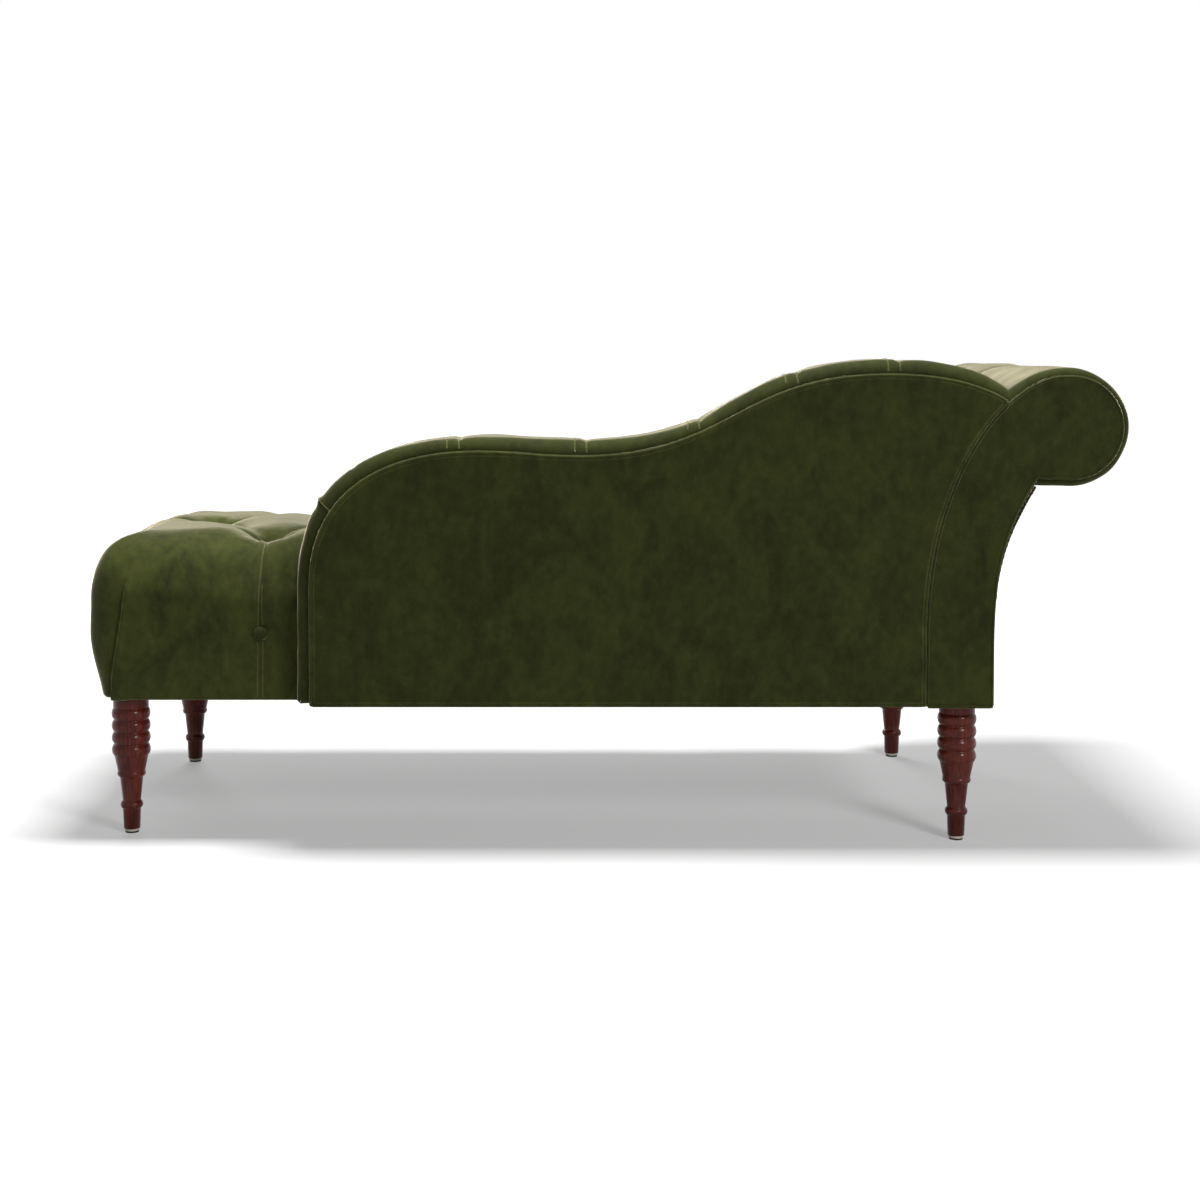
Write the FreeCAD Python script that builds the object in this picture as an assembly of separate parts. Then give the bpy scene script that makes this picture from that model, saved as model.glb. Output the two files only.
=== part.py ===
"""A chaise longue with one scroll arm, an S-curved back and a button-tufted seat.

Upholstered in velvet over a hardwood and plywood frame, on four turned legs. Sizes are in millimetres.
X runs towards the foot end, Y towards the outside of the back, Z up. The origin is on the floor,
under the middle of the whole piece. Places ending in _x, _y or _z are coordinates, the rest are sizes.
"""

import FreeCAD, Part
import math
import os

from FreeCAD import Vector as V

# Overall places
rear_y = 355.0            # outer face of the back and of both arm end panels
base_z = 217.0            # lowest edge of the upholstery
seat_half_width = 300.0   # seat side face from the middle
crown_z = 477.0           # highest line of the seat
foot_x = 802.0            # furthest point of the foot end

# Layers of the upholstery
cover = 2.0               # velvet with its backing
side_pad = 8.0            # wadding between rails and cover
panel = 7.5               # wadding, velvet and welt of a flat outside panel
board = 2.5               # fibreboard behind a flat outside panel
welt_wide = 8.0
welt_proud = 1.5          # how far a welt stands out of its panel
seam_gap = 0.5            # between two covers that meet at a seam
clearance = 0.3           # between soft pieces that only rest against each other

# Seat form
foot_tuck = 19.0          # foot face drawn in at its lower edge
foot_round = 80.0         # waterfall edge at the foot
foot_bulge_z = 355.0      # height where the foot face stands out furthest
side_round = 50.0         # edge between seat top and side
crown_drop = 10.0         # how much the crown falls towards the sides
return_width = 24.0       # velvet turned under the frame

# Tufting of the seat
tuft_pitch = 232.0        # along the seat, within a row
tuft_row = 195.0          # from the middle row to an outer row
tuft_first_x = 645.0      # middle-row button nearest the foot
tuft_columns = 5
tuft_depth = 30.0
tuft_mouth = 46.0         # radius where the hollow round a button begins
button_r = 10.0
button_high = 6.0
button_rim = 2.0
pleat_half = 24.0         # half the width of a pleat channel
pleat_depth = 11.0
rim_lift = 2.0            # how far the rims of hollows start above the surface
pleat_lift = 1.0          # the same for pleat channels
seam_pleat = 3.0          # width of a straight pleat over an edge
seam_pleat_depth = 4.5
slot_end = 5.0            # straight pleats of the crest stop this far from the seam
side_button_z = 321.0
side_button_sink = 5.0
side_button_mouth = 26.0
twine_r = 1.0

# Back outline, at the seam of its outside panel
back_end_x = 446.0
shoulder_z = 400.0
low_hump_x = 190.0
low_hump_z = 607.5
dip_x = 35.0
dip_z = 600.5
high_hump_x = -435.0
high_hump_z = 724.5
back_head_x = -638.0
back_head_z = 665.0
back_swell = 22.0         # padding stands this far beyond the seam
back_inner_y = 235.0      # face that the sitter leans on
crest_round = 44.0        # front edge of the crest
seam_round = 21.0         # rear edge of the crest, down to the seam
back_tuft_x = (218.0, 24.0, -148.0, -297.0, -452.0)
back_tuft_below = 85.0    # from crest down to the upper row of buttons
back_low_tuft_x = (-222.0, -375.0)
back_low_tuft_z = 552.0
back_tuft_depth = 20.0
back_tuft_mouth = 38.0
end_pleat_x = 380.0       # pleat over the low end of the crest

# Arm outline, at the seam of its end panels
arm_inner_x = -494.0
arm_outer_x = -593.0
arm_flare_z = 330.0
arm_crest_x = -700.0
roll_x = -711.0
roll_z = 643.0
roll_r = 79.0
neck_x = -657.0
neck_z = 566.0
outer_flare_z = 300.0
arm_swell = 12.0          # padding stands this far beyond the seam
arm_pad = 24.0            # foam and cover on the inside and round the roll
arm_end_round = 11.0
arm_tuft_y = -32.0        # middle of the inside of the arm
arm_tuft_spread = 140.0
arm_low_tuft_z = 548.0
arm_high_tuft_z = 640.0
arm_tuft_depth = 14.0
arm_tuft_mouth = 34.0
arm_side_pad = 5.0        # wadding and cover on the outside of the arm

# Wooden frame
rail = 20.0               # thickness of the seat rails
rail_high = 95.0
brace_high = 70.0
brace_x = (330.0, -80.0)
block = 60.0              # corner block, each way
block_high = 45.0
ply = 18.0
crest_foam = 28.0         # foam and cover over the arch
arch_band = 34.0          # width of the plywood arch in the back
post_x = (240.0, 35.0, -190.0, -400.0)
post_wide = 32.0
bottom_rail_high = 88.0
roll_board = 3.0
slat = 34.0               # stretchers between the two arm frames
stretcher_thick = 18.0
joint_bolt_r = 3.0
joint_bolt_x = (230.0, -110.0, -350.0)
joint_bolt_z = 268.0
joint_head_r = 6.0
joint_head = 4.0

# Springs, deck and webbing
spring_wire_r = 1.9
spring_pitch = 132.0
spring_first_x = -420.0
spring_count = 9
spring_loop = 22.0        # half the width of a zigzag spring
spring_bends = 24
clip_wide = 18.0
clip_deep = 14.0
clip_wall = 1.2
deck_felt = 5.0
strap_wide = 50.0
strap_thick = 1.6
strap_x = (137.0, -78.0, -295.0)
strap_lap = 20.0          # strap nailed over the arch

# Legs, turned, all alike
leg_foot_x = 741.0
leg_foot_y = 254.0
leg_head_x = -552.0
leg_head_y = 297.0
leg_collar_r = 27.6
leg_ring_r = 30.0
leg_groove_r = 26.2
leg_ring_top_z = 189.6
leg_ring_pitch = 19.2
leg_rings = 4
leg_belly_r = 21.0
leg_bead_z = 93.3
leg_bead_r = 22.0
leg_bead_half = 4.5
leg_shin_r = 18.0
leg_neck_r = 13.9
leg_ankle_z = 44.5
leg_ankle_r = 17.4
leg_ankle_half = 6.5
leg_toe_r = 12.8
glide_pad_r = 10.5
glide_pad = 3.0
glide_ring_r = 11.6
glide_ring = 3.5
glide_nail_r = 1.2
glide_nail = 18.0
bolt_r = 4.0
bolt_in_leg = 34.0
bolt_above = 12.0         # bolt end above the corner block
bolt_hole = 0.3           # room round the bolt in the block
tee_barrel_r = 5.5
tee_barrel = 12.0
tee_flange_r = 10.0
tee_flange = 2.0
cloth = 0.8               # dust cover under the frame
cloth_edge = 4.0          # the dust cover stops this far inside the outline
staple_wide = 12.0
staple_r = 0.6
staple_pitch = 110.0

# Places that follow from the sizes above
frame_z = base_z + cover
rail_top_z = frame_z + rail_high
spring_z = rail_top_z + clip_wall + spring_wire_r
deck_z = rail_top_z + 2 * clip_wall + 2 * spring_wire_r
foam_z = deck_z + deck_felt
rail_outer_y = seat_half_width - cover - side_pad
rail_inner_y = rail_outer_y - rail
foot_low_x = foot_x - foot_tuck
rail_foot_x = foot_low_x - cover - side_pad
wrap_y = rear_y - panel - board
panel_y = rear_y - welt_proud
wood_in = arm_swell - arm_pad - roll_board
frame_head_x = arm_inner_x + wood_in
head_rail_x = frame_head_x - rail
arm_wood_x = arm_outer_x + board
arm_middle_x = arm_outer_x + 0.3 * (arm_inner_x - arm_outer_x)
arm_ply_y = wrap_y - ply
arch_edge = back_swell - crest_foam
back_y0 = seat_half_width + seam_gap
back_wood_y0 = back_y0 + strap_thick
leg_top_z = frame_z - cloth
toe_z = glide_pad + glide_ring
tuft_columns_x = [tuft_first_x - (n + 0.5) * tuft_pitch for n in range(tuft_columns)]
seat_tufts = [(tuft_first_x - n * tuft_pitch, 0.0) for n in range(tuft_columns)]
seat_tufts += [(x, tuft_row) for x in tuft_columns_x]
seat_tufts += [(x, -tuft_row) for x in tuft_columns_x]
leg_places = {
    "leg_foot_rear": (leg_foot_x, leg_foot_y),
    "leg_foot_front": (leg_foot_x, -leg_foot_y),
    "leg_head_rear": (leg_head_x, leg_head_y),
    "leg_head_front": (leg_head_x, -leg_head_y),
}


# Plain building blocks
def box(x0, x1, y0, y1, z0, z1):
    return Part.makeBox(x1 - x0, y1 - y0, z1 - z0, V(x0, y0, z0))


def rod(r, start, end):
    along = end - start
    return Part.makeCylinder(r, along.Length, start, along)


def xz(x, z):
    return V(x, 0, z)


def line(a, b):
    return Part.LineSegment(a, b).toShape()


def bow(a, b, c):
    return Part.Arc(a, b, c).toShape()


def curve(*poles):
    c = Part.BezierCurve()
    c.setPoles(list(poles))
    return c.toShape()


def arc(centre, r, *degrees):
    """Arc in the XZ plane through three angles, counted from +X towards +Z."""
    at = [xz(centre.x + r * math.cos(math.radians(a)), centre.z + r * math.sin(math.radians(a))) for a in degrees]
    return bow(*at)


def slab(edges, y0, y1):
    """A closed outline in the XZ plane, given depth from y0 to y1."""
    face = Part.Face(Part.Wire(edges))
    face.translate(V(0, y0, 0))
    return face.extrude(V(0, y1 - y0, 0))


def turned(edges, place, up):
    """A profile spun round Z, then stood at a place with its Z along up."""
    shape = Part.Face(Part.Wire(edges)).revolve(V(0, 0, 0), V(0, 0, 1), 360)
    shape.Placement = FreeCAD.Placement(place, FreeCAD.Rotation(V(0, 0, 1), up))
    return shape


def everything(z0, z1):
    """All of the space between two heights."""
    return box(-3 * foot_x, 3 * foot_x, -3 * rear_y, 3 * rear_y, z0, z1)


def group(shapes):
    return Part.makeCompound([s for shape in shapes for s in shape.Solids])


def front_and_rear(shape):
    return [shape, shape.mirror(V(0, 0, 0), V(0, 1, 0))]


def crossing(edge, place, normal):
    """Point where an outline edge crosses a plane."""
    plane = Part.makePlane(8000, 8000, V(0, 0, 0), V(0, 0, 1))
    plane.translate(V(-4000, -4000, 0))
    plane.Placement = FreeCAD.Placement(place, FreeCAD.Rotation(V(0, 0, 1), normal)).multiply(plane.Placement)
    return edge.section(plane).Vertexes[0].Point


# Outlines of the back and the arm, grown or shrunk from the seam
def back_edges(grow):
    end_x = back_end_x + grow
    foot = xz(end_x, base_z)
    shoulder = xz(end_x, shoulder_z)
    low = xz(low_hump_x, low_hump_z + grow)
    dip = xz(dip_x, dip_z + grow)
    high = xz(high_hump_x, high_hump_z + grow)
    head = xz(back_head_x, back_head_z + grow)
    corner = xz(arm_middle_x, base_z)
    rise = low.z - shoulder.z
    run = end_x - low_hump_x
    span = low_hump_x - dip_x
    climb = dip_x - high_hump_x
    fall = high_hump_x - back_head_x
    return [
        line(corner, foot),
        line(foot, shoulder),
        curve(shoulder, shoulder + xz(0, 0.72 * rise), low + xz(0.55 * run, 0), low),
        curve(low, low - xz(0.45 * span, 0), dip + xz(0.45 * span, 0), dip),
        curve(dip, dip - xz(0.5 * climb, 0), high + xz(0.5 * climb, 0), high),
        curve(high, high - xz(0.45 * fall, 0), head + xz(0.2 * fall, 0.2 * fall), head),
        line(head, corner),
    ]


def outside_curve(grow_out, neck):
    """Outside of the arm, from the neck under the roll down to the straight part."""
    low = xz(arm_outer_x - grow_out, outer_flare_z)
    rise = neck_z - outer_flare_z
    lean = (roll_x - neck_x) / roll_r
    return curve(neck, neck + xz(-0.29 * lean * rise, -0.32 * rise), low + xz(0, 0.45 * rise), low)


def arm_edges(grow, grow_out=0.0):
    """grow moves the inside and the roll, grow_out the outside below the roll."""
    inner_x = arm_inner_x + grow
    outer_x = arm_outer_x - grow_out
    flare = xz(inner_x, arm_flare_z)
    crest = xz(arm_crest_x, roll_z + roll_r + grow)
    centre = xz(roll_x, roll_z)
    r = roll_r + grow
    neck = xz(neck_x - grow_out, neck_z - grow)
    low = xz(outer_x, outer_flare_z)
    rise = crest.z - flare.z
    run = inner_x - arm_crest_x
    return [
        line(xz(outer_x, base_z), xz(inner_x, base_z)),
        line(xz(inner_x, base_z), flare),
        curve(flare, flare + xz(0, 0.64 * rise), crest + xz(0.39 * run, 0), crest),
        line(crest, xz(roll_x, crest.z)),
        arc(centre, r, 90, 135, 180),
        arc(centre, r, 180, 225, 270),
        line(xz(roll_x, roll_z - r), neck),
        outside_curve(grow_out, neck),
        line(low, xz(outer_x, base_z)),
    ]


def arm_slab(grow, grow_out=0.0, depth=None):
    depth = wrap_y if depth is None else depth
    return slab(arm_edges(grow, grow_out), -depth, depth)


# Hollows that buttons and pleats make in a padded surface
def hollow(place, outward, depth, mouth, floor_r):
    """A round hollow whose rim rolls in smoothly and whose floor takes a button."""
    reach = mouth - floor_r
    fall = depth + rim_lift
    bend = (reach * reach + fall * fall) / (2 * fall)
    half = math.atan2(reach, bend - fall) / 2
    rim = xz(mouth, rim_lift)
    middle = xz(mouth - bend * math.sin(half), rim_lift + bend * math.cos(half) - bend)
    lip = xz(floor_r, -depth)
    floor = xz(0, -depth)
    above = rim_lift + depth
    edges = [
        line(xz(0, above), floor),
        line(floor, lip),
        bow(lip, middle, rim),
        line(rim, xz(mouth, above)),
        line(xz(mouth, above), xz(0, above)),
    ]
    return turned(edges, place, outward)


def channel(start, end, outward, half, depth):
    """A pleat between two buttons: two rounded shoulders that meet in a crease."""
    along = (end - start).normalize()
    side = outward.cross(along).normalize()
    up = along.cross(side).normalize()
    fall = depth + pleat_lift
    bend = (half * half + fall * fall) / (2 * fall)
    angle = math.atan2(half, bend - fall) / 2
    over = half - bend * math.sin(angle)
    down = pleat_lift + bend * math.cos(angle) - bend

    def at(across, high):
        return start + side * across + up * high

    above = pleat_lift + 2 * depth
    edges = [
        bow(at(-half, pleat_lift), at(-over, down), at(0, -depth)),
        bow(at(0, -depth), at(over, down), at(half, pleat_lift)),
        line(at(half, pleat_lift), at(half, above)),
        line(at(half, above), at(-half, above)),
        line(at(-half, above), at(-half, pleat_lift)),
    ]
    return Part.Face(Part.Wire(edges)).extrude(end - start)


def carve(shape, tools):
    for tool in tools:
        shape = shape.cut(tool)
    return shape


def button(place, outward):
    """A covered button: a low dome on a short straight rim, flat underneath."""
    dome = button_high - button_rim
    ball = (button_r * button_r + dome * dome) / (2 * dome)
    half = math.asin(button_r / ball) / 2
    middle = xz(ball * math.sin(half), button_high - ball + ball * math.cos(half))
    edges = [
        line(xz(0, 0), xz(button_r, 0)),
        line(xz(button_r, 0), xz(button_r, button_rim)),
        bow(xz(button_r, button_rim), middle, xz(0, button_high)),
        line(xz(0, button_high), xz(0, 0)),
    ]
    return turned(edges, place, outward)


# Seat
def crown_radius():
    return (seat_half_width ** 2 + crown_drop ** 2) / (2 * crown_drop)


def crown_at(y):
    """Height of the seat's top at one distance from its middle."""
    r = crown_radius()
    return crown_z - (r - math.sqrt(r * r - y * y))


def seat_form(inset):
    """The seat's padded body without its tufts, out to the cover when inset is 0."""
    x = foot_x - inset
    low_x = foot_low_x - inset
    z = crown_z + 1 - inset
    y = seat_half_width - inset
    r = foot_round - inset
    start_x = head_rail_x
    turn = xz(x - r, z)
    start = xz(start_x, base_z)
    toe = xz(low_x, base_z)
    bulge = xz(x, foot_bulge_z)
    edges = [
        line(start, toe),
        bow(toe, xz(x - 0.28 * foot_tuck, (base_z + foot_bulge_z) / 2), bulge),
        curve(bulge, xz(x, z - 0.45 * r), turn + xz(0.55 * r, 0), turn),
        line(turn, xz(start_x, z)),
        line(xz(start_x, z), start),
    ]
    body = slab(edges, -y, y)
    rounded = []
    for e in body.Edges:
        middle = e.CenterOfMass
        if abs(abs(middle.y) - y) < 0.01 and middle.z > base_z + 1 and middle.x > start_x + 1:
            rounded.append(e)
    body = body.makeFillet(side_round - inset, rounded)
    radius = crown_radius()
    dome = Part.makeCylinder(radius, 4 * foot_x, V(-2 * foot_x, 0, crown_z - inset - radius), V(1, 0, 0))
    return body.common(dome).cut(arm_slab(arm_swell + clearance + inset, side_pad))


def frame_room(top_z):
    """All that lies inside the side padding, its foot corners rounded to follow the cover's."""
    room = box(head_rail_x, rail_foot_x, -rail_outer_y, rail_outer_y, 0, top_z)
    upright = [e for e in room.Edges if e.BoundBox.ZLength > top_z / 2 and e.CenterOfMass.x > 0]
    return room.makeFillet(side_round - cover - side_pad, upright)


def seat_hollows(extra):
    """Tufts and pleats of the seat; extra sinks them deeper for the layer below the cover."""
    up = V(0, 0, 1)
    cuts = []
    for x, y in seat_tufts:
        place = V(x, y, crown_at(y))
        cuts.append(hollow(place, up, tuft_depth + extra, tuft_mouth + extra, button_r + 1 + extra))
        if y != 0:
            continue
        for far_x, far_y in seat_tufts:
            if far_y != 0 and abs(abs(far_x - x) - tuft_pitch / 2) < 1:
                far = V(far_x, far_y, crown_at(far_y))
                cuts.append(channel(place, far, up, pleat_half + extra, pleat_depth + extra))
    return cuts


def seat_side_columns():
    """Columns whose pleats and side buttons can be seen: every one in front, at the foot behind."""
    front = [(x, -1) for x in tuft_columns_x]
    rear = [(x, 1) for x in tuft_columns_x if x > back_end_x + back_swell]
    return front + rear


def seat_slots(extra):
    """Straight pleats from the outer buttons over the edge and down, cut to an even depth."""
    skin = seat_form(extra).cut(seat_form(seam_pleat_depth + extra))
    half = seam_pleat / 2 + extra
    low, high = base_z - 1, crown_z + 1
    found = []
    for x, way in seat_side_columns():
        y0, y1 = sorted((way * tuft_row, way * (seat_half_width + 1)))
        found.append(skin.common(box(x - half, x + half, y0, y1, low, high)))
    found.append(skin.common(box(tuft_first_x, foot_x + 1, -half, half, low, high)))
    return found


def side_button_places():
    found = [(V(x, way * seat_half_width, side_button_z), V(0, way, 0)) for x, way in seat_side_columns()]
    face_x = crossing(foot_face(), V(0, 0, side_button_z), V(0, 0, 1)).x
    found.append((V(face_x, 0, side_button_z), V(1, 0, 0)))
    return found


def foot_face():
    """Outline of the foot face below its fullest height, drawn in towards the base."""
    middle = xz(foot_x - 0.28 * foot_tuck, (base_z + foot_bulge_z) / 2)
    return bow(xz(foot_low_x, base_z), middle, xz(foot_x, foot_bulge_z))


def seat_side_hollows(extra):
    floor_r = button_r + 1 + extra
    mouth = side_button_mouth + extra
    return [hollow(p, n, side_button_sink + extra, mouth, floor_r) for p, n in side_button_places()]


def seat_parts():
    shaped = carve(seat_form(0), seat_hollows(0) + seat_side_hollows(0) + seat_slots(0))
    filled = carve(seat_form(cover), seat_hollows(cover) + seat_side_hollows(cover) + seat_slots(cover))
    filled = filled.common(everything(frame_z, 2 * crown_z))
    within = seat_half_width - return_width
    rooms = [
        filled,
        box(head_rail_x, back_end_x, rail_outer_y, back_y0, base_z - 1, rail_top_z),
        box(head_rail_x, back_end_x, within, back_y0, base_z - 1, frame_z),
        box(head_rail_x, frame_head_x + 2 * arm_pad, -rail_outer_y, rail_outer_y, base_z - 1, rail_top_z),
        box(head_rail_x, foot_low_x - return_width, -within, within, base_z - 1, frame_z),
    ]
    rooms += [rod(leg_collar_r + clearance, V(x, y, base_z - 1), V(x, y, frame_z)) for x, y in leg_places.values()]
    twines = [rod(twine_r, V(x, y, deck_z), V(x, y, crown_at(y) - tuft_depth)) for x, y in seat_tufts]
    over_deck = everything(foam_z, 2 * crown_z)
    within_padding = frame_room(foam_z)
    side_padding = filled.cut([over_deck, rooms[1]]).cut(within_padding)
    felt_x = frame_head_x + arm_pad + roll_board + 1
    felt = box(felt_x, rail_foot_x - 1, 1 - rail_outer_y, rail_outer_y - 1, deck_z, foam_z).common(within_padding)
    buttons = [button(V(x, y, crown_at(y) - tuft_depth), V(0, 0, 1)) for x, y in seat_tufts]
    return {
        "seat_cover": carve(shaped, rooms),
        "seat_foam": carve(filled.common(over_deck), twines),
        "seat_side_padding": side_padding,
        "deck_felt": carve(felt, twines),
        "seat_buttons": group(buttons),
        "seat_side_buttons": group([button(p - n * side_button_sink, n) for p, n in side_button_places()]),
        "seat_twines": group(twines),
    }


# Back
def back_form(inset):
    """The padded back, from its inner face over the crest to the seam of the outside panel."""
    y0 = back_inner_y + inset
    y1 = wrap_y - inset
    body = slab(back_edges(back_swell - inset), y0, y1)
    for y, r in ((y0, crest_round - inset), (y1, seam_round - inset)):
        crest = []
        for e in body.Edges:
            middle = e.CenterOfMass
            if abs(middle.y - y) < 0.01 and middle.z > base_z + 1 and middle.x > roll_x + 1.4 * roll_r:
                crest.append(e)
        body = body.makeFillet(r, crest)
    return body.cut(arm_slab(arm_swell + clearance + inset, side_pad))


def crest_at(x):
    edges = back_edges(back_swell)[2:6]
    for e in edges:
        if e.BoundBox.XMin <= x <= e.BoundBox.XMax:
            return crossing(e, V(x, 0, 0), V(1, 0, 0)).z


def back_tufts():
    upper = [V(x, back_inner_y, crest_at(x) - back_tuft_below) for x in back_tuft_x]
    lower = [V(x, back_inner_y, back_low_tuft_z) for x in back_low_tuft_x]
    return upper, lower


def back_hollows(extra):
    out = V(0, -1, 0)
    upper, lower = back_tufts()
    cuts = [hollow(p, out, back_tuft_depth + extra, back_tuft_mouth + extra, button_r + 1 + extra)
            for p in upper + lower]
    for low in lower:
        near = sorted(upper, key=lambda p: abs(p.x - low.x))[:2]
        cuts += [channel(low, high, out, pleat_half + extra, pleat_depth + extra) for high in near]
    return cuts


def crest_slot(x, low_z, extra):
    """A straight pleat over the crest, from a button on the inside to the seam behind."""
    half = seam_pleat / 2 + extra
    deep = seam_pleat_depth + extra
    top = crest_at(x)
    core = box(x - 2 * half, x + 2 * half, back_inner_y + deep, wrap_y - deep, low_z - 1, top - deep)
    for y, r in ((back_inner_y + deep, crest_round - deep), (wrap_y - deep, seam_round - deep)):
        edges = [e for e in core.Edges if abs(e.CenterOfMass.y - y) < 0.01 and e.BoundBox.YLength < 0.01]
        edges = [e for e in edges if abs(e.CenterOfMass.z - top + deep) < 0.01]
        core = core.makeFillet(r, edges)
    end_y = wrap_y - slot_end + extra
    return box(x - half, x + half, back_inner_y - 5, end_y, low_z, top + 10).cut(core)


def back_slots(extra):
    upper, lower = back_tufts()
    found = [crest_slot(p.x, p.z, extra) for p in upper]
    found.append(crest_slot(end_pleat_x, crown_z, extra))
    half = seam_pleat / 2 + extra
    hanging = [p for p in upper if p.x > max(back_low_tuft_x) + back_tuft_below] + lower
    for p in hanging:
        y1 = back_inner_y + seam_pleat_depth + extra
        found.append(box(p.x - half, p.x + half, back_inner_y - 5, y1, crown_z - side_round, p.z))
    return found


def back_wood(y0, y1, edge, z0, z1=2 * high_hump_z):
    """The part of the back inside an outline, clear of the arm's foam."""
    body = slab(back_edges(edge), y0, y1).common(everything(z0, z1))
    return body.cut(arm_slab(wood_in + roll_board))


def back_parts():
    upper, lower = back_tufts()
    sink = V(0, back_tuft_depth, 0)
    twines = [rod(twine_r, p + sink, V(p.x, back_y0, p.z)) for p in upper + lower]
    buttons = [button(p + sink, V(0, -1, 0)) for p in upper + lower]
    rooms = [slab(back_edges(arch_edge), back_y0, wrap_y + 1), seat_form(-seam_gap)]
    filled = carve(back_form(cover), back_hollows(cover) + back_slots(cover))
    shaped = carve(back_form(0), back_hollows(0) + back_slots(0))
    opening = slab(back_edges(arch_edge - arch_band), 0, rear_y)
    bottom_z = frame_z + bottom_rail_high
    between = opening.common(everything(bottom_z, 2 * high_hump_z))
    posts = []
    for x in post_x:
        post = box(x - post_wide / 2, x + post_wide / 2, back_wood_y0, arm_ply_y, bottom_z, 2 * high_hump_z)
        posts.append(post.common(between))
    webbed = slab(back_edges(arch_edge - arch_band + strap_lap), back_y0, back_wood_y0)
    straps = []
    for x in strap_x:
        strap = box(x - strap_wide / 2, x + strap_wide / 2, 0, rear_y, bottom_z, 2 * high_hump_z)
        straps.append(webbed.common(strap))
    holes = [rod(joint_bolt_r, V(x, 0, joint_bolt_z), V(x, arm_ply_y - 5, joint_bolt_z)) for x in joint_bolt_x]
    inner_arch = back_wood(back_wood_y0, arm_ply_y, arch_edge, bottom_z).cut(opening)
    bottom = carve(back_wood(rail_outer_y, arm_ply_y, arch_edge, frame_z, bottom_z), holes)
    end_room = slab(arm_edges(seam_gap), 0, rear_y + 1)
    field_room = slab(arm_edges(seam_gap + welt_wide), 0, rear_y + 1)
    field = slab(back_edges(-welt_wide), rear_y - panel, panel_y).cut(field_room)
    field = field.common(everything(base_z + welt_wide, 2 * high_hump_z))
    whole = slab(back_edges(0), rear_y - panel, rear_y).cut(end_room)
    hole = slab(back_edges(-welt_wide), 0, 2 * rear_y).cut(field_room)
    hole = hole.common(everything(base_z + welt_wide, 2 * high_hump_z))
    wadding_room = box(-2 * foot_x, 2 * foot_x, 0, panel_y - cover, 0, 2 * high_hump_z)
    return {
        "back_cover": carve(shaped, rooms).cut(filled),
        "back_foam": carve(filled, rooms + twines),
        "back_arch_rear": back_wood(arm_ply_y, wrap_y, arch_edge, frame_z).cut(opening),
        "back_arch_front": inner_arch,
        "back_posts": group(posts),
        "back_bottom_rail": bottom,
        "back_webbing": group(straps),
        "back_buttons": group(buttons),
        "back_twines": group(twines),
        "back_outer_board": slab(back_edges(0), wrap_y, rear_y - panel).cut(end_room),
        "back_outer_wadding": field.common(wadding_room),
        "back_outer_cover": field.cut(wadding_room),
        "back_outer_welt": whole.cut(hole),
    }


# Arm
def arm_form(inset):
    """The padded arm; its ends round down to the seams of the end panels."""
    r = arm_end_round
    steps = [(wrap_y, r), (wrap_y - 0.3 * r, 0.3 * r), (wrap_y - r, 0)]
    stations = [(-y, fall) for y, fall in steps] + [(y, fall) for y, fall in reversed(steps)]
    wires = []
    for y, fall in stations:
        wire = Part.Wire(arm_edges(arm_swell - fall - inset))
        wire.translate(V(0, y, 0))
        wires.append(wire)
    return Part.makeLoft(wires, True, True)


def arm_point(z):
    """Place and outward direction on the inside of the arm at one height."""
    edge = arm_edges(arm_swell)[2]
    point = crossing(edge, V(0, 0, z), V(0, 0, 1))
    along = edge.tangentAt(edge.Curve.parameter(point))
    return point, V(abs(along.z), 0, abs(along.x))


def arm_tufts():
    low, low_out = arm_point(arm_low_tuft_z)
    high, high_out = arm_point(arm_high_tuft_z)
    found = [(low + V(0, arm_tuft_y + way * arm_tuft_spread, 0), low_out) for way in (-1, 1)]
    found.append((high + V(0, arm_tuft_y, 0), high_out))
    return found


def arm_hollows(extra):
    cuts = []
    tufts = arm_tufts()
    for p, out in tufts:
        cuts.append(hollow(p, out, arm_tuft_depth + extra, arm_tuft_mouth + extra, button_r + 1 + extra))
    high, high_out = tufts[2]
    half = seam_pleat / 2 + extra
    core = arm_slab(arm_swell - seam_pleat_depth - extra, side_pad, rear_y)
    for p, out in tufts[:2]:
        lean = (out + high_out).normalize()
        cuts.append(channel(p, high, lean, pleat_half - 6 + extra, pleat_depth - 5 + extra))
        cuts.append(box(p.x, arm_inner_x + 2 * arm_swell, p.y - half, p.y + half, crown_z - side_round, p.z).cut(core))
    over = box(2 * roll_x, high.x, high.y - half, high.y + half, neck_z - arm_swell - 5, roll_z + 2 * roll_r)
    cuts.append(over.cut(core))
    return cuts


def arm_wood(outline, y0, y1, z0=frame_z, z1=2 * high_hump_z):
    return slab(outline, y0, y1).common(everything(z0, z1))


def outside_strip(far, near):
    """A layer on the outside of the arm, between two distances from the seam."""
    top_z = neck_z - arm_swell - seam_gap
    necks = [xz(neck_x - g, top_z) for g in (far, near)]
    lows = [xz(arm_outer_x - g, outer_flare_z) for g in (far, near)]
    feet = [xz(arm_outer_x - g, base_z) for g in (far, near)]
    edges = [
        line(feet[0], feet[1]),
        line(feet[1], lows[1]),
        outside_curve(near, necks[1]),
        line(necks[1], necks[0]),
        outside_curve(far, necks[0]),
        line(lows[0], feet[0]),
    ]
    return slab(edges, -wrap_y, wrap_y)


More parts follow.
